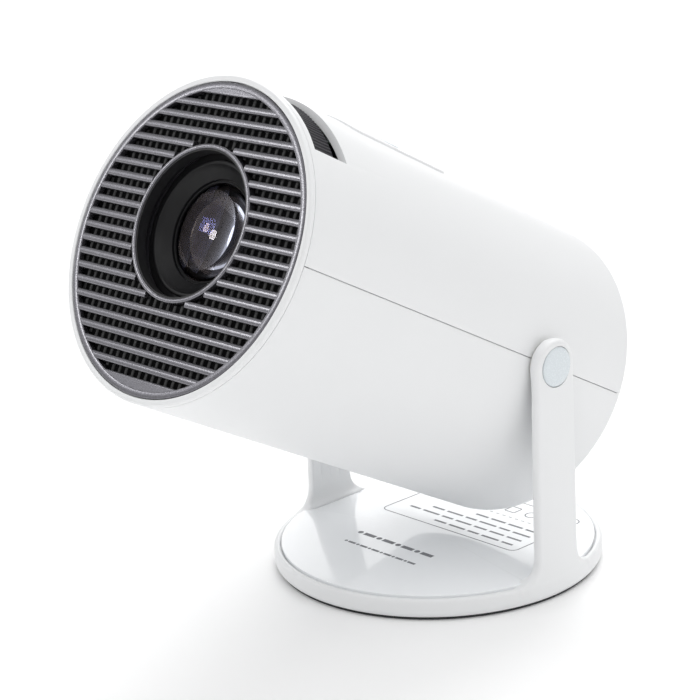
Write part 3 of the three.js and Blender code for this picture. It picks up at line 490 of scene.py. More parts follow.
def worked(bm, kind, tool=None, **settings):
    """The mesh after one modifier, with a second mesh as its tool where needed. Frees what it is given."""
    things = []
    for part in [bm] + ([tool] if tool else []):
        bmesh.ops.recalc_face_normals(part, faces=part.faces)
        mesh = bpy.data.meshes.new("work")
        part.to_mesh(mesh)
        part.free()
        thing = bpy.data.objects.new("work", mesh)
        bpy.context.scene.collection.objects.link(thing)
        things.append(thing)
    modifier = things[0].modifiers.new(kind, kind)
    for key, value in settings.items():
        setattr(modifier, key, value)
    if tool:
        modifier.object = things[1]
    result = bmesh.new()
    result.from_object(things[0], bpy.context.evaluated_depsgraph_get())
    for thing in things:
        mesh = thing.data
        bpy.data.objects.remove(thing)
        bpy.data.meshes.remove(mesh)
    if not result.faces:
        raise RuntimeError(f"the {kind.lower()} step left nothing")
    return result


def cut(bm, tool, operation="DIFFERENCE"):
    return worked(bm, "BOOLEAN", tool, operation=operation, solver="EXACT")


def settle(bm, name, body, maker, slot, stands_for=(), place=BODY, sharp=32):
    """Makes the finished piece: its mesh in place, its finish, and the body that it moves with."""
    bmesh.ops.recalc_face_normals(bm, faces=bm.faces)
    mesh = bpy.data.meshes.new(name)
    bm.to_mesh(mesh)
    bm.free()
    mesh.transform(place)
    mesh.polygons.foreach_set("use_smooth", [True] * len(mesh.polygons))
    mesh.set_sharp_from_angle(angle=math.radians(sharp))
    mesh.materials.append(finish(maker))
    piece = bpy.data.objects.new(name, mesh)
    bpy.context.scene.collection.objects.link(piece)
    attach(piece, body)
    if stands_for:
        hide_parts(*stands_for)
    return piece


def side_place(sign):
    """Turns a shape whose face looks to -Y so that it looks out to the right (+1) or the left (-1)."""
    return Matrix.Rotation(math.radians(90 * sign), 4, "Z")


# ---- stand -------------------------------------------------------------------------------------------------


def arm_outline(rim_top):
    """Side view of an arm, with its hollow flares, down into the rim: (along the base, height)."""
    foot, flare, top = ARM_FOOT, ARM_FLARE, 9.4
    right = arc(flare, 270, 180, 10, (foot + flare, rim_top + flare))
    head = arc(top, 0, 180, 28, (0, PIVOT_UP))
    left = [(-x, z) for x, z in reversed(right)]
    return [(foot + flare, rim_top - 4)] + right + head + left + [(-foot - flare, rim_top - 4)]


def arm_blade(rim_top):
    """One arm that looks to -Y, curved like the rim below it, with its flutes, and the filler at its foot."""
    out, inner = ARM_OUT, ARM_OUT - ARM_THICK
    blade = bmesh.new()
    slab(blade, arm_outline(rim_top), -out, -inner)
    soften(blade, sizes().arm_round / MM, lambda mid, e: mid.y < -out + 0.1)
    soften(blade, 0.6, lambda mid, e: mid.y > -inner - 0.1)
    for step in range(-17, 18):
        bmesh.ops.bisect_plane(blade, geom=blade.verts[:] + blade.edges[:] + blade.faces[:],
                               plane_co=(step, 0, 0), plane_no=(1, 0, 0))
    for vert in blade.verts:
        vert.co.y += RIM_RADIUS - math.sqrt(RIM_RADIUS ** 2 - vert.co.x ** 2)
    flutes = bmesh.new()
    for x in (-4.5, 0, 4.5):
        groove = [(0, rim_top + 6), (0.15, rim_top + 6), (1.4, 34), (1.4, 64), (0, 64)]
        flute = spun(flutes, groove, 24, upright=True)
        bmesh.ops.translate(flutes, vec=(x, -inner, 0), verts=flute)
    blade = cut(blade, flutes)
    foot, limit = bmesh.new(), bmesh.new()
    reach, rise, sunk = 3.4, 8.5, 3.0
    curve = [(-inner + reach * t * t, rim_top + rise - 7.5 * (1 - (1 - t) ** 2))
             for t in [i / 10 for i in range(11)]]
    outline = [(-inner - 1, rim_top - sunk), (-inner - 1, rim_top + rise)] + curve
    outline.append((-inner + reach, rim_top - sunk))
    slab(foot, outline, -ARM_FOOT - ARM_FLARE, ARM_FOOT + ARM_FLARE)
    bmesh.ops.transform(foot, matrix=Matrix.Rotation(math.radians(90), 4, "Z"), verts=foot.verts)
    slab(limit, arm_outline(rim_top), -out - 5, -40)
    return blade, cut(foot, limit, "INTERSECT")


class PROJECTOR_OT_stand_moulding(bpy.types.Operator):
    """The rim of the base and both arms, which are one white moulding."""

    bl_idname = "projector.stand_moulding"
    bl_label = "Stand moulding"

    def execute(self, context):
        rim_top = 7.9
        floor_low, floor_high = 4.9, 6.5
        whole = bmesh.new()
        inner = RIM_RADIUS - 2.4
        spun(whole, [(inner, 0.8), (RIM_RADIUS - 1.3, 0.8), (RIM_RADIUS, 2.2), (RIM_RADIUS, rim_top - 0.8),
                     (RIM_RADIUS - 0.8, rim_top), (inner, rim_top)], 256, upright=True)
        for sign in (1, -1):
            for part in arm_blade(rim_top):
                bmesh.ops.transform(part, matrix=side_place(sign), verts=part.verts)
                mesh = bpy.data.meshes.new("work")
                part.to_mesh(mesh)
                part.free()
                whole.from_mesh(mesh)
                bpy.data.meshes.remove(mesh)
            boss = spun(whole, [(0, -ARM_OUT + 1), (9.3, -ARM_OUT + 1), (9.3, -55), (0, -55)], 64,
                        lift=PIVOT_UP)
            bmesh.ops.transform(whole, matrix=side_place(sign), verts=boss)
        whole = worked(whole, "REMESH", mode="VOXEL", voxel_size=0.5)
        for _ in range(6):
            bmesh.ops.smooth_vert(whole, verts=whole.verts, factor=0.5, use_axis_x=True, use_axis_y=True,
                                  use_axis_z=True)
        seats = bmesh.new()
        for sign in (1, -1):
            radius = CAP_RADIUS + 0.25
            seat = spun(seats, [(0, -61), (radius, -61), (radius, -58), (0, -58)], 96, lift=PIVOT_UP)
            bmesh.ops.transform(seats, matrix=side_place(sign), verts=seat)
        whole = cut(whole, seats)
        edge = inner + 0.6
        disc = [(0, floor_low), (edge, floor_low), (edge, floor_high), (0, floor_high)]
        spun(whole, disc, 128, upright=True)
        settle(whole, "stand_moulding", "stand", spark_textured_abs, "white_shell",
               ("base_frame", "arm_left", "arm_right"), WORLD, 40)
        return {"FINISHED"}


class PROJECTOR_OT_base_plate(bpy.types.Operator):
    """The polished plate on the base, notched round the arms' feet, and the neutral marks on it."""

    bl_idname = "projector.base_plate"
    bl_label = "Base plate"

    def execute(self, context):
        low, high = PLATE_LOW.z, PLATE_HIGH.z
        radius, notch = PLATE_HIGH.y, 12.3
        plate, notches = bmesh.new(), bmesh.new()
        spun(plate, [(0, low), (radius, low), (radius, high), (0, high)], 192, upright=True)
        for sign in (-1, 1):
            start, end = sorted((52.3 * sign, 62 * sign))
            block(notches, (start, -notch, 0), (end, notch, 20))
        plate = cut(plate, notches)
        soften(plate, 0.35, lambda mid, e: mid.z > high - 0.01)
        settle(plate, "base_plate", "stand", polished_abs, "white_gloss", ("base_top_plate",), WORLD)
        marks = bmesh.new()
        self.label(marks)
        self.title(marks)
        bmesh.ops.transform(marks, matrix=Matrix.Translation((0, 0, high)) @ TO_UPRIGHT, verts=marks.verts)
        settle(marks, "base_marks", "stand", printed_ink, "cap_grey", (), WORLD)
        return {"FINISHED"}

    INK = (-0.02, 0.025)                # how far a mark reaches below and above the plate

    def bar(self, marks, x0, x1, y, thick):
        half = thick / 2
        slab(marks, [(x0, -y - half), (x1, -y - half), (x1, -y + half), (x0, -y + half)], *self.INK)

    def frame_line(self, marks, width, height, radius, centre, line):
        """A rounded rectangle drawn as a line: (x, y) is its centre on the plate."""
        middle = (centre[0], -centre[1])
        outer = rounded(width, height, radius, middle)
        inner = rounded(width - 2 * line, height - 2 * line, max(radius - line, 0.05), middle)
        loops = []
        for y in self.INK:
            for outline in (outer, inner):
                verts = [marks.verts.new((x, y, z)) for x, z in outline]
                loops.append([marks.edges.new(pair) for pair in zip(verts, verts[1:] + verts[:1])])
        for first, second in ((0, 1), (2, 3), (0, 2), (1, 3)):
            bmesh.ops.bridge_loops(marks, edges=loops[first] + loops[second])

    def label(self, marks):
        """A framed panel with rows of plain dashes and three plain signs, in place of a rating label."""
        self.frame_line(marks, 67, 38, 3, (0, 23), 0.45)
        for row, (y, words) in enumerate(((8.5, 5), (13.2, 7), (17.9, 6), (22.6, 4))):
            x = 29.0
            for word in range(words):
                width = 5.2 + 3.1 * math.sin(1.7 * word + 2.3 * row) ** 2
                self.bar(marks, x - width, x, y, 1.1)
                x -= width + 1.5
        for i in range(19):
            self.bar(marks, 28.2 - 3.1 * i, 29.6 - 3.1 * i, 28, 0.35)
        for i in range(3):
            self.frame_line(marks, 5.2, 5.2, 2.55 if i == 1 else 0.9, (24 - 9 * i, 34.5), 0.5)
        self.bar(marks, 22.2, 25.8, 34.5, 0.5)

    def title(self, marks):
        """Two rows of dashes and dots, in place of a name."""
        for y, dash, thick, count in ((-17.5, 5.6, 2.0, 4), (-26.4, 3.6, 1.2, 6)):
            x = 14.5
            for i in range(count):
                self.bar(marks, x - dash, x, y, thick)
                slab(marks, arc(thick * 0.55, 0, 345, 23, (x - dash - thick, -y)), *self.INK)
                x -= dash + 2 * thick


class PROJECTOR_OT_arm_caps(bpy.types.Operator):
    """The two round caps over the pivot screws."""

    bl_idname = "projector.arm_caps"
    bl_label = "Arm caps"

    def execute(self, context):
        out = box_in(WORLD, "arm_cap_right")[1].x
        flat = CAP_RADIUS - 0.6
        for side, sign in (("left", -1), ("right", 1)):
            bm = bmesh.new()
            crown = [(r, -out + 0.22 * (r / flat) ** 2) for r in (0, 1.6, 3.2, 4.8, flat)]
            edge = [(CAP_RADIUS, -out + 0.75), (CAP_RADIUS, -58.1), (0, -58.1)]
            spun(bm, crown + edge, 96, lift=PIVOT_UP)
            soften(bm, 0.2, lambda mid, e: mid.y < -59.2, 2)
            bmesh.ops.transform(bm, matrix=side_place(sign), verts=bm.verts)
            settle(bm, f"cap_{side}", "stand", satin_polycarbonate, "cap_grey", (f"arm_cap_{side}",), WORLD)
        return {"FINISHED"}


class PROJECTOR_OT_foot(bpy.types.Operator):
    """The round foot pad, with a groove near its edge."""

    bl_idname = "projector.foot"
    bl_label = "Foot pad"

    def execute(self, context):
        high = box_in(WORLD, "foot_pad")[1]
        r, top = high.x, high.z
        bm = bmesh.new()
        groove = [(r - 3, 0), (r - 3.3, 0.3), (r - 4.2, 0.3), (r - 4.5, 0)]
        profile = [(0, top), (r, top), (r, 0.2), (r - 0.2, 0)] + groove + [(0, 0)]
        spun(bm, profile, 160, upright=True)
        settle(bm, "foot_pad_moulded", "stand", foam_rubber, "rubber", ("foot_pad",), WORLD)
        return {"FINISHED"}


# ---- tube --------------------------------------------------------------------------------------------------


def open_window(bm, y0, y1, half_angle):
    """Opens both skins of a shell between two places, out to an angle from the top, and joins the edges."""
    def inside(face):
        middle = face.calc_center_median()
        turn = abs(math.degrees(math.atan2(middle.x, middle.z)))
        return y0 < middle.y < y1 and turn < half_angle and abs(face.normal.y) < 0.3

    bm.normal_update()
    bmesh.ops.delete(bm, geom=[f for f in bm.faces if inside(f)], context="FACES")
    bmesh.ops.bridge_loops(bm, edges=[e for e in bm.edges if e.is_boundary])


class PROJECTOR_OT_shells(bpy.types.Operator):
    """The upper and lower shell of the tube, parted along its middle line."""

    bl_idname = "projector.shells"
    bl_label = "Shells"

    def execute(self, context):
        outer, inner = TUBE_RADIUS, TUBE_RADIUS - TUBE_WALL
        front, rear = TUBE_LOW.y, TUBE_HIGH.y - 0.15
        w0, w1 = FRONT + WINDOW[0], FRONT + WINDOW[1]
        k0, k1, pad_half = -82.5, -37.0, 17.5           # opening under the keypad, and its degrees each way
        gap = math.degrees(math.asin(0.15 / outer))     # half of the seam between the shells
        stops = [w0, w1, k0, k1]
        step = inner + 1.1                              # the front ring's tongue sits in this step
        outside = [(step, front), (outer, front)] + [(outer, y) for y in stops] + [(outer, rear)]
        inside = [(inner, rear)] + [(inner, y) for y in reversed(stops)] + [(step, w0)]
        profile = outside + inside
        turns = [gap, 90 - WINDOW[2], 90 - pad_half, 90 + pad_half, 90 + WINDOW[2], 180 - gap]
        sections = [(b - a, max(4, round((b - a) / 1.6))) for a, b in zip(turns, turns[1:])]
        upper = bmesh.new()
        spun(upper, profile, sections=sections, start=gap)
        open_window(upper, w0, w1, WINDOW[2])
        open_window(upper, k0, k1, pad_half)
        bmesh.ops.recalc_face_normals(upper, faces=upper.faces)
        self.edges(upper, outer, rear)
        finished = ("housing", spark_textured_abs, "white_shell")
        settle(upper, "upper_shell_moulded", *finished, ("upper_shell",), sharp=30)
        lower = bmesh.new()
        spun(lower, profile, sections=[(180 - 2 * gap, 112)], start=180 + gap)
        self.edges(lower, outer, rear)
        for sign in (-1, 1):
            start, end = sorted(((inner + 0.05) * sign, (outer - 0.9) * sign))
            block(lower, (start, w0 + 0.4, -0.6), (end, rear - 1.2, 0.12))
        settle(lower, "lower_shell_moulded", *finished, ("lower_shell",), sharp=30)
        return {"FINISHED"}

    def edges(self, bm, outer, rear):
        """Rounds the back edge, and breaks the front edge, the seam and the window's rim."""
        def radius(mid):
            return math.hypot(mid.x, mid.z)

        soften(bm, 1.0, lambda mid, e: mid.y > rear - 0.01 and radius(mid) > outer - 0.2, 4)
        soften(bm, 0.12, lambda mid, e: radius(mid) > outer - 0.2 and mid.y < rear - 1.1, 2)


class PROJECTOR_OT_front_ring(bpy.types.Operator):
    """The white ring round the front face, with the tongue that centres it in the shells."""

    bl_idname = "projector.front_ring"
    bl_label = "Front ring"

    def execute(self, context):
        bm = bmesh.new()
        outer, face = TUBE_RADIUS, TUBE_RADIUS - 2.1
        profile = [(face, 0), (outer, 0), (outer, 1.8), (52.3, 1.8), (52.3, 4.1), (50.3, 4.1), (50.3, 1.55),
                   (face, 1.55)]
        spun(bm, [(r, FRONT + y) for r, y in profile], 224)
        soften(bm, sizes().bezel_round / MM,
               lambda mid, e: mid.y < FRONT + 0.1 and math.hypot(mid.x, mid.z) > 53, 5)
        soften(bm, 0.3, lambda mid, e: mid.y < FRONT + 0.1 and math.hypot(mid.x, mid.z) < 53)
        soften(bm, 0.12, lambda mid, e: math.hypot(mid.x, mid.z) > 53.8 and mid.y > FRONT + 1.7, 2)
        settle(bm, "front_ring", "housing", spark_textured_abs, "white_shell", ("front_bezel",))
        return {"FINISHED"}


def spans(place, half, hole_place):
    """Where a bar across the grille's round field runs: one run, or two with the lens collar between."""
    near_rim = max(abs(place) - half, 0)
    end = math.sqrt(max((GRILLE_INNER + 0.35) ** 2 - near_rim ** 2, 0))
    near_lens = max(abs(place - hole_place) - half, 0)
    collar = COLLAR_OUTER - 0.4
    if near_lens >= collar:
        return [(-end, end)]
    start = math.sqrt(collar ** 2 - near_lens ** 2)
    return [(-end, -start), (start, end)]


class PROJECTOR_OT_grille(bpy.types.Operator):
    """The painted front grille: its rim, slats and lens collar, and the black screen behind it."""

    bl_idname = "projector.grille"
    bl_label = "Front grille"

    def execute(self, context):
        half = sizes().slat_height / MM / 2
        pitch = sizes().slat_pitch / MM
        round_top = sizes().slat_round / MM
        face, back = FRONT + 0.15, FRONT + 2.35
        middle = 0.67
        bm = bmesh.new()
        spun(bm, [(GRILLE_INNER, face), (51.6, face), (51.6, face + 1.1), (50, face + 1.1), (50, back),
                  (GRILLE_INNER, back)], 224)
        soften(bm, 0.35, lambda mid, e: mid.y < face + 0.05)
        collar = spun(bm, [(LINER_OUTER, face), (COLLAR_OUTER, face), (COLLAR_OUTER, FRONT + 4.5),
                           (LINER_OUTER, FRONT + 4.5)], 144, lift=LENS_RISE)
        soften(bm, 0.45, lambda mid, e: mid.y < face + 0.05, verts=collar)
        for count in range(-10, 10):
            z = middle + (count + 0.5) * pitch
            for start, end in spans(z, half, LENS_RISE):
                bar = block(bm, (start, face + 0.05, z - half), (end, back, z + half))
                soften(bm, round_top, lambda mid, e: mid.y < face + 0.1 and mid.z > z + half - 0.1, 4, bar)
                soften(bm, 0.6, lambda mid, e: mid.y < face + 0.1 and mid.z < z - half + 0.1, 3,
                       [v for v in bm.verts if v.co.z < z - half + 0.01 and v.co.z > z - half - 0.01
                        and start - 0.01 < v.co.x < end + 0.01])
        for sign in (1, -1):
            self.plain_segment(bm, sign * (middle * sign + 10 * pitch + 1.2), sign, face, back)
        settle(bm, "grille_slats", "housing", metallic_paint, "grille_grey", ("front_grille",))
        liner = bmesh.new()
        spun(liner, [(COLLAR_INNER, FRONT + 0.7), (LINER_OUTER + 0.02, FRONT + 0.7),
                     (LINER_OUTER + 0.02, FRONT + 4.5),
                     (COLLAR_INNER, FRONT + 4.5)], 144, lift=LENS_RISE)
        settle(liner, "lens_hole_liner", "housing", black_moulded_abs, "black_plastic")
        self.screen(back)
        return {"FINISHED"}

    def plain_segment(self, bm, level, sign, face, back):
        """The unslotted piece of the grille above the top slot or below the bottom one."""
        before = set(bm.verts)
        radius = GRILLE_INNER + 0.3
        reach = math.degrees(math.acos(abs(level) / radius))
        slab(bm, arc(radius, 90 * sign - reach, 90 * sign + reach, 24), face + 0.12, back)
        soften(bm, 0.45, lambda mid, e: mid.y < face + 0.2 and abs(mid.z - level) < 0.05, 3,
               added(bm, before))

    def screen(self, back):
        """A black perforated disc behind the slats, with upright bars in front of its holes."""
        low, high = box_in(BODY, "grille_mesh")
        disc, hole = bmesh.new(), bmesh.new()
        spun(disc, [(0, low.y), (high.x, low.y), (high.x, high.y), (0, high.y)], 160)
        spun(hole, [(0, low.y - 2), (COLLAR_OUTER + 0.3, low.y - 2), (COLLAR_OUTER + 0.3, high.y + 2),
                    (0, high.y + 2)], 96, lift=LENS_RISE)
        settle(cut(disc, hole), "grille_screen", "housing", dust_cloth, "black_plastic", ("grille_mesh",))
        bm = bmesh.new()
        pitch = sizes().screen_pitch / MM
        count = int(48 / pitch)
        for i in range(-count, count + 1):
            x = i * pitch
            end = math.sqrt((GRILLE_INNER - 0.1) ** 2 - (abs(x) + 0.65) ** 2)
            near = COLLAR_OUTER + 0.2
            runs = [(-end, end)]
            if abs(x) < near:
                half = math.sqrt(near ** 2 - max(abs(x) - 0.65, 0) ** 2)
                runs = [(-end, LENS_RISE - half), (LENS_RISE + half, end)]
            for start, stop in runs:
                bar = block(bm, (x - 0.65, back + 0.05, start), (x + 0.65, low.y + 0.1, stop))
                soften(bm, 0.2,
                       lambda mid, e: abs((e.verts[0].co - e.verts[1].co).z) > 1 and mid.y < low.y, 1, bar)
        settle(bm, "grille_screen_bars", "housing", black_moulded_abs, "black_plastic")


# ---- focus wheel and lens ----------------------------------------------------------------------------------


class PROJECTOR_OT_focus_wheel(bpy.types.Operator):
    """Grip ribs round the focus wheel."""

    bl_idname = "projector.focus_wheel"
    bl_label = "Focus wheel"

    def execute(self, context):
        low, high = box_in(BODY, "focus_ring")
        radius = high.x
        start, end = low.y, low.y + WHEEL_WIDTH
        bm = bmesh.new()
        spun(bm, [(radius - 0.4, start + 0.3), (radius + 0.06, start + 0.3), (radius + 0.06, end - 0.3),
                  (radius - 0.4, end - 0.3)], 192)
        count = round(math.tau * radius / (sizes().rib_pitch / MM))
        rib = block(bm, (radius - 0.1, start + 0.5, -0.38), (radius + 0.42, end - 0.5, 0.38))
        before = set(bm.verts) - set(rib)
        soften(bm, 0.22, lambda mid, e: mid.x > radius + 0.4, 1, rib)
        rib = added(bm, before)
        geom = rib + list({e for v in rib for e in v.link_edges})
        geom += list({f for v in rib for f in v.link_faces})
        bmesh.ops.spin(bm, geom=geom, cent=(0, 0, 0), axis=(0, -1, 0), dvec=(0, 0, 0),
                       angle=math.tau * (count - 1) / count, steps=count - 1, use_merge=False,
                       use_duplicate=True)
        bmesh.ops.translate(bm, vec=(0, 0, LENS_RISE), verts=bm.verts)
        settle(bm, "focus_wheel_grip", "focus_wheel", charcoal_moulded_abs, "charcoal")
        return {"FINISHED"}


def dome(radius, depth, sag, steps=20, outwards=True):
    """Points of a lens face from its axis to its edge; the sag is the height of the middle over the edge."""
    if abs(sag) < 1e-6:
        return [(0, depth), (radius, depth)]
    ball = (radius ** 2 + sag ** 2) / (2 * abs(sag))
    points = []
    for i in range(steps + 1):
        r = radius * i / steps
        drop = ball - math.sqrt(ball ** 2 - r ** 2)
        points.append((r, depth - sag + math.copysign(drop, sag)))
    return points


class PROJECTOR_OT_lens(bpy.types.Operator):
    """The lens barrel with its cone and lip, the domed front lens and the two lenses behind it."""

    bl_idname = "projector.lens"
    bl_label = "Lens"

    def execute(self, context):
        low, high = box_in(BODY, "lens_barrel")
        end = high.y - FRONT
        edge = [(21.2, 6.45), (21.3, 6.22), (21.45, 6.06), (21.65, 6.0), (22.3, 6.0), (22.6, 6.12),
                (22.8, 6.5)]
        lip = [(16.3, 11.0), (16.3, 10.55), (16.4, 10.35), (16.6, 10.25), (16.85, 10.3), (17.0, 10.5)]
        cone = [(17.15, 10.5), (17.3, 9.75), (18.6, 8.75), (19.9, 7.7)]
        barrel = edge + [(22.8, end), (20.3, end), (20.3, 11.0)] + lip + cone
        self.turned(barrel, "lens_barrel_turned", turned_black, "black_plastic", ("lens_barrel",))
        seat, glass = 11.3, 16.0
        front = dome(glass, seat, 4.9) + [(20.0, seat), (20.0, seat + 4), (glass, seat + 4)]
        front += list(reversed(dome(glass - 0.01, seat + 4, -1)))
        self.turned(front, "front_lens_coated", coated_glass, "lens_glass", ("front_lens",))
        middle = dome(20, 27, -1) + list(reversed(dome(20, 32, 1)))
        self.turned(middle, "middle_lens_coated", coated_glass, "lens_glass", ("middle_lens",))
        rear = dome(20, 36.5, 1.5) + list(reversed(dome(20, 40.5, -1.5)))
        self.turned(rear, "rear_lens_coated", coated_glass, "lens_glass", ("rear_lens",))
        return {"FINISHED"}

    def turned(self, profile, name, maker, slot, stands_for):
        bm = bmesh.new()
        spun(bm, [(r, FRONT + y) for r, y in profile], 144, lift=LENS_RISE)
        settle(bm, name, "lens_assembly", maker, slot, stands_for)


# ---- keypad ------------------------------------------------------------------------------------------------


KEYS = ("key_power", "key_volume_up", "key_volume_down", "key_back", "key_forward")


def key_place(node):
    """Where a key points: its angle from the top of the tube, and its place along the tube."""
    low, high = box_in(BODY, node)
    middle = (low + high) / 2
    return math.atan2(middle.x, middle.z), middle.y


def key_matrix(node):
    turn, along = key_place(node)
    place = Matrix.Translation((0, along, 0)) @ Matrix.Rotation(turn, 4, "Y")
    return place @ Matrix.Rotation(math.radians(-90), 4, "X")


class PROJECTOR_OT_keypad(bpy.types.Operator):
    """The raised keypad panel on top of the tube, its five keys and their signs."""

    bl_idname = "projector.keypad"
    bl_label = "Keypad"

    def execute(self, context):
        low, high = box_in(BODY, "keypad_panel")
        outer, inner = TUBE_RADIUS + 0.6, TUBE_RADIUS - 0.6
        half = math.degrees(math.asin(high.x / outer)) + 1.5
        panel, limit, holes = bmesh.new(), bmesh.new(), bmesh.new()
        spun(panel, [(inner, low.y - 1), (outer, low.y - 1), (outer, high.y + 1), (inner, high.y + 1)],
             sections=[(2 * half, 96)], start=90 - half)
        middle = (low.y + high.y) / 2
        outline = rounded(high.x - low.x, high.y - low.y, 4.5, (0, -middle), 8)
        slab(limit, outline, 40, 60)
        bmesh.ops.transform(limit, matrix=TO_UPRIGHT, verts=limit.verts)
        for node in KEYS:
            hole = spun(holes, [(0, -60), (4.3, -60), (4.3, -45), (0, -45)], 64)
            bmesh.ops.transform(holes, matrix=key_matrix(node), verts=hole)
        panel = cut(cut(panel, limit, "INTERSECT"), holes)
        soften(panel, 0.25,
               lambda mid, e: math.hypot(mid.x, mid.z) > outer - 0.06 and e.calc_face_angle(0) > 1.0, 2)
        settle(panel, "keypad_cover", "housing", spark_textured_abs, "white_shell", ("keypad_panel",))
        top = -TUBE_RADIUS - 1.0
        for node in KEYS:
            bm = bmesh.new()
            cap = [(r, top + 0.16 * (r / 3.3) ** 2) for r in (0, 1.1, 2.2, 3.3)]
            spun(bm, cap + [(3.8, top + 0.36), (4.0, top + 0.75), (4.0, top + 5.0), (0, top + 5.0)], 72)
            bmesh.ops.transform(bm, matrix=key_matrix(node), verts=bm.verts)
            settle(bm, f"{node}_cap", node, satin_polycarbonate, "cap_grey", (node,))
            sign = bmesh.new()
            self.sign(sign, node)
            place = key_matrix(node) @ Matrix.Translation((0, top, 0))
            bmesh.ops.transform(sign, matrix=place, verts=sign.verts)
            settle(sign, f"{node}_sign", node, printed_ink, "cap_grey")
        return {"FINISHED"}

    def sign(self, bm, node):
        """The plain sign on a key: power, plus, minus or an arrow."""
        y0, y1 = -0.015, 0.3
        if node == "key_power":
            ring = arc(1.45, 60, -240, 20) + arc(1.1, -240, 60, 20)
            slab(bm, ring, y0, y1)
            slab(bm, rounded(0.35, 1.5, 0.15, (0, 1.1)), y0, y1)
        elif node.startswith("key_volume"):
            slab(bm, rounded(2.6, 0.4, 0.18), y0, y1)
            if node == "key_volume_up":
                slab(bm, rounded(0.4, 1.1, 0.18, (0, 0.75)), y0, y1)
                slab(bm, rounded(0.4, 1.1, 0.18, (0, -0.75)), y0, y1)
        else:
            turn = 1 if node == "key_forward" else -1
            slab(bm, [(-0.9 * turn, 1.2), (-0.9 * turn, -1.2), (1.3 * turn, 0)], y0, y1)


# ---- back --------------------------------------------------------------------------------------------------


class PROJECTOR_OT_back_cover(bpy.types.Operator):
    """The back cover with its vents and socket openings, and the cross-head screws of back and base."""

    bl_idname = "projector.back_cover"
    bl_label = "Back cover and screws"

    def execute(self, context):
        low, high = box_in(BODY, "rear_cover")
        radius = high.x
        cover, holes = bmesh.new(), bmesh.new()
        spun(cover, [(0, low.y), (radius, low.y), (radius, high.y), (0, high.y)], 192)
        y0, y1 = low.y - 1, high.y + 1
        for row in range(sizes().vent_count):
            z = -14 + row * sizes().slat_pitch / MM
            end = math.sqrt(45 ** 2 - (abs(z) + 1.2) ** 2)
            for sign in (-1, 1):
                slab(holes, rounded(end - 1.5, 2.4, 1.15, (sign * (end + 1.5) / 2, z)), y0, y1)
        for node, corner in (("hdmi_port", 0.8), ("usb_port", 0.8), ("power_inlet", 2.0), ("ir_window", 0.8)):
            a, b = box_in(BODY, node)
            centre = ((a.x + b.x) / 2, (a.z + b.z) / 2)
            slab(holes, rounded(b.x - a.x + 0.5, b.z - a.z + 0.5, corner, centre), y0, y1)
        a, b = box_in(BODY, "audio_jack")
        jack = spun(holes, [(0, y0), (3.25, y0), (3.25, y1), (0, y1)], 48)
        bmesh.ops.translate(holes, vec=((a.x + b.x) / 2, 0, (a.z + b.z) / 2), verts=jack)
        for i in range(1, 5):
            a, b = box_in(BODY, f"rear_screw_{i}")
            seat = spun(holes, [(0, high.y - 1.0), (3.1, high.y - 1.0), (3.1, y1), (0, y1)], 48)
            bmesh.ops.translate(holes, vec=((a.x + b.x) / 2, 0, (a.z + b.z) / 2), verts=seat)
        cover = cut(cover, holes)
        soften(cover, 0.25, lambda mid, e: mid.y > high.y - 0.01, 2)
        settle(cover, "back_cover", "housing", spark_textured_abs, "white_shell", ("rear_cover",))
        for i in range(1, 5):
            a, b = box_in(BODY, f"rear_screw_{i}")
            self.screw(f"rear_screw_{i}", "housing", BODY, ((a.x + b.x) / 2, b.y, (a.z + b.z) / 2), 2.75,
                       Matrix.Rotation(math.radians(180), 4, "Z"))
        for i in range(1, 4):
            a, b = box_in(WORLD, f"base_screw_{i}")
            self.screw(f"base_screw_{i}", "stand", WORLD, ((a.x + b.x) / 2, (a.y + b.y) / 2, a.z), 2.85,
                       Matrix.Rotation(math.radians(90), 4, "X"))
        return {"FINISHED"}

    def screw(self, node, body, place, at, radius, turn):
        """A pan-head screw with a cross recess, its head turned to look out of the piece."""
        bm, cross = bmesh.new(), bmesh.new()
        crown = [(r, 0.35 * (r / radius) ** 2) for r in (0, radius * 0.35, radius * 0.7)]
        edge = [(radius * 0.93, 0.42), (radius, 0.75), (radius, 1.0)]
        spun(bm, crown + edge + [(1.3, 1.0), (1.3, 6.0), (0, 6.0)], 48)
        block(cross, (-radius * 0.6, -1, -0.35), (radius * 0.6, 0.75, 0.35))
        bm = cut(bm, cross)
        cross = bmesh.new()
        block(cross, (-0.35, -1, -radius * 0.6), (0.35, 0.75, radius * 0.6))
        bm = cut(bm, cross)
        bmesh.ops.transform(bm, matrix=Matrix.Translation(at) @ turn, verts=bm.verts)
        settle(bm, f"{node}_cross_head", body, brushed_steel, "steel", (node,), place)


class PROJECTOR_OT_inner_finishes(bpy.types.Operator):
    """Gives each piece that keeps its fixed shape its own finish."""

    bl_idname = "projector.inner_finishes"
    bl_label = "Finishes of the inner pieces"

    FINISHES = (
        (spark_textured_abs, ("base_bottom_cover",)),
        (brushed_steel, ("base_ballast", "pivot_screw_left", "pivot_screw_right", "pivot_hub_left",
                         "pivot_hub_right", "hdmi_port", "usb_port")),
        (natural_nylon, ("friction_washer_left", "friction_washer_right")),
        (charcoal_moulded_abs, ("focus_ring",)),
        (black_moulded_abs, ("lens_mount", "lens_retainer", "optical_housing", "fan_frame", "fan_rotor",
                             "speaker", "audio_jack", "power_inlet")),
        (clear_glass, ("fresnel_front", "heat_glass", "fresnel_rear", "condenser_lens")),
        (lcd_film, ("lcd_panel",)),
        (extruded_aluminium, ("led_module", "heat_sink")),
        (solder_mask, ("main_board", "power_board", "keypad_board")),
        (infrared_plastic, ("ir_window",)),
    )

    def execute(self, context):
        for maker, nodes in self.FINISHES:
            for node in nodes:
                for slot in NODES[node].material_slots:
                    slot.material = finish(maker)
        return {"FINISHED"}


# ---- stage -------------------------------------------------------------------------------------------------


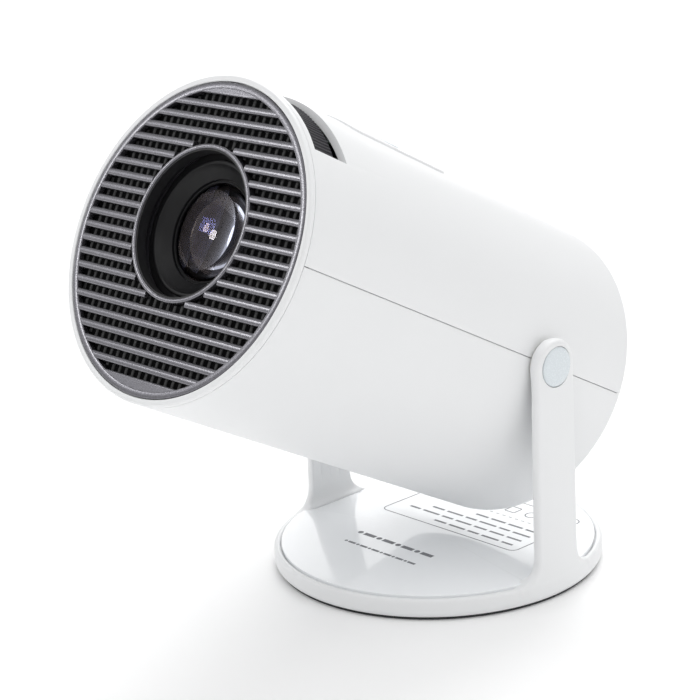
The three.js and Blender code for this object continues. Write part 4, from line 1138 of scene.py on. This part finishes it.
class PROJECTOR_OT_stage(bpy.types.Operator):
    """White floor, soft studio lights, and the camera."""

    bl_idname = "projector.stage"
    bl_label = "Stage"

    def execute(self, context):
        bm = bmesh.new()
        bmesh.ops.create_circle(bm, cap_ends=True, segments=96, radius=6)
        bmesh.ops.translate(bm, vec=(0, 0, -0.1 * MM), verts=bm.verts)
        mesh = bpy.data.meshes.new("floor")
        bm.to_mesh(mesh)
        bm.free()
        mesh.materials.append(finish(studio_floor))
        floor = bpy.data.objects.new("floor", mesh)
        context.scene.collection.objects.link(floor)
        self.world(context)
        self.sun("back_left", (-0.34, 0.45, 0.7), 34, 1.2)
        self.sun("overhead", (0.4, 0.1, 0.95), 70, 0.85)
        self.light("back_low", (-1.0, 1.05, 0.5), (0, 0, 0.01), 1.0, 2.2)
        self.light("left_side", (-1.25, -0.25, 0.3), (0, 0, 0.05), 0.6, 0.9)
        self.light("front_left", (-0.93, -0.89, 0.735), (0, -0.11, 0.14), 0.22, 1.3)
        self.light("lens_spark", (0.75, -1.25, 0.62), (0, -0.08, 0.12), 0.14, 0.5)
        self.camera(context)
        return {"FINISHED"}

    def world(self, context):
        world = bpy.data.worlds.new("studio")
        world.use_nodes = True
        tree = world.node_tree
        tree.nodes.clear()
        glow = add_node(tree, "ShaderNodeBackground", {"Color": linear("FFFFFF"), "Strength": 0.58})
        add_node(tree, "ShaderNodeOutputWorld", {"Surface": glow})
        context.scene.world = world
        context.scene.view_settings.view_transform = "Standard"

    def sun(self, name, place, angle, strength):
        """A very large soft light that is as strong far away as it is near, so that the floor stays white."""
        data = bpy.data.lights.new(name, "SUN")
        data.angle = math.radians(angle)
        data.energy = strength
        self.hang(name, data, place, (0, 0, 0))

    def light(self, name, place, target, size, power):
        data = bpy.data.lights.new(name, "AREA")
        data.shape = "DISK"
        data.size = size
        data.energy = power
        self.hang(name, data, place, target)

    def hang(self, name, data, place, target):
        lamp = bpy.data.objects.new(name, data)
        lamp.location = place
        lamp.rotation_euler = (Vector(target) - Vector(place)).to_track_quat("-Z", "Y").to_euler()
        bpy.context.scene.collection.objects.link(lamp)

    def camera(self, context):
        """Looks down on the projector from the right of its lens, a little turned about its own axis."""
        azimuth, elevation, roll = (math.radians(a) for a in (47.01, 16.94, -2.81))
        back = Vector((math.sin(azimuth) * math.cos(elevation), -math.cos(azimuth) * math.cos(elevation),
                       math.sin(elevation)))
        right = Vector((math.cos(azimuth), math.sin(azimuth), 0))
        up = back.cross(right)
        turned_right = right * math.cos(roll) + up * math.sin(roll)
        turned_up = up * math.cos(roll) - right * math.sin(roll)
        data = bpy.data.cameras.new("camera")
        data.lens, data.sensor_width = 110.48, 36
        camera = bpy.data.objects.new("camera", data)
        target = PIVOT + Vector((-19.42, -20.83, -3.73)) * MM
        turn = Matrix((turned_right, turned_up, back)).transposed().to_4x4()
        camera.matrix_world = Matrix.Translation(target + back * 760.36 * MM) @ turn
        context.scene.collection.objects.link(camera)
        context.scene.camera = camera


# ---- add-on ------------------------------------------------------------------------------------------------

STEPS = (
    PROJECTOR_OT_stage, PROJECTOR_OT_stand_moulding, PROJECTOR_OT_base_plate, PROJECTOR_OT_arm_caps,
    PROJECTOR_OT_foot, PROJECTOR_OT_shells, PROJECTOR_OT_front_ring, PROJECTOR_OT_grille,
    PROJECTOR_OT_focus_wheel, PROJECTOR_OT_lens, PROJECTOR_OT_keypad, PROJECTOR_OT_back_cover,
    PROJECTOR_OT_inner_finishes,
)


class PROJECTOR_PT_panel(bpy.types.Panel):
    """Lists the settings and the steps in the sidebar."""

    bl_label = "Projector"
    bl_space_type = "VIEW_3D"
    bl_region_type = "UI"
    bl_category = "Projector"

    def draw(self, context):
        for group in (context.scene.projector_sizes, context.scene.projector_colours):
            for name in group.bl_rna.properties.keys():
                if name not in ("rna_type", "name"):
                    self.layout.prop(group, name)
        for step in STEPS:
            self.layout.operator(step.bl_idname)


CLASSES = (ProjectorSizes, ProjectorColours) + STEPS + (PROJECTOR_PT_panel,)


def register():
    for each in CLASSES:
        bpy.utils.register_class(each)
    bpy.types.Scene.projector_sizes = PointerProperty(type=ProjectorSizes)
    bpy.types.Scene.projector_colours = PointerProperty(type=ProjectorColours)


def unregister():
    del bpy.types.Scene.projector_colours
    del bpy.types.Scene.projector_sizes
    for each in reversed(CLASSES):
        bpy.utils.unregister_class(each)


def main():
    register()
    for step in STEPS:
        getattr(bpy.ops.projector, step.bl_idname.split(".")[1])()


if __name__ == "__main__":
    main()
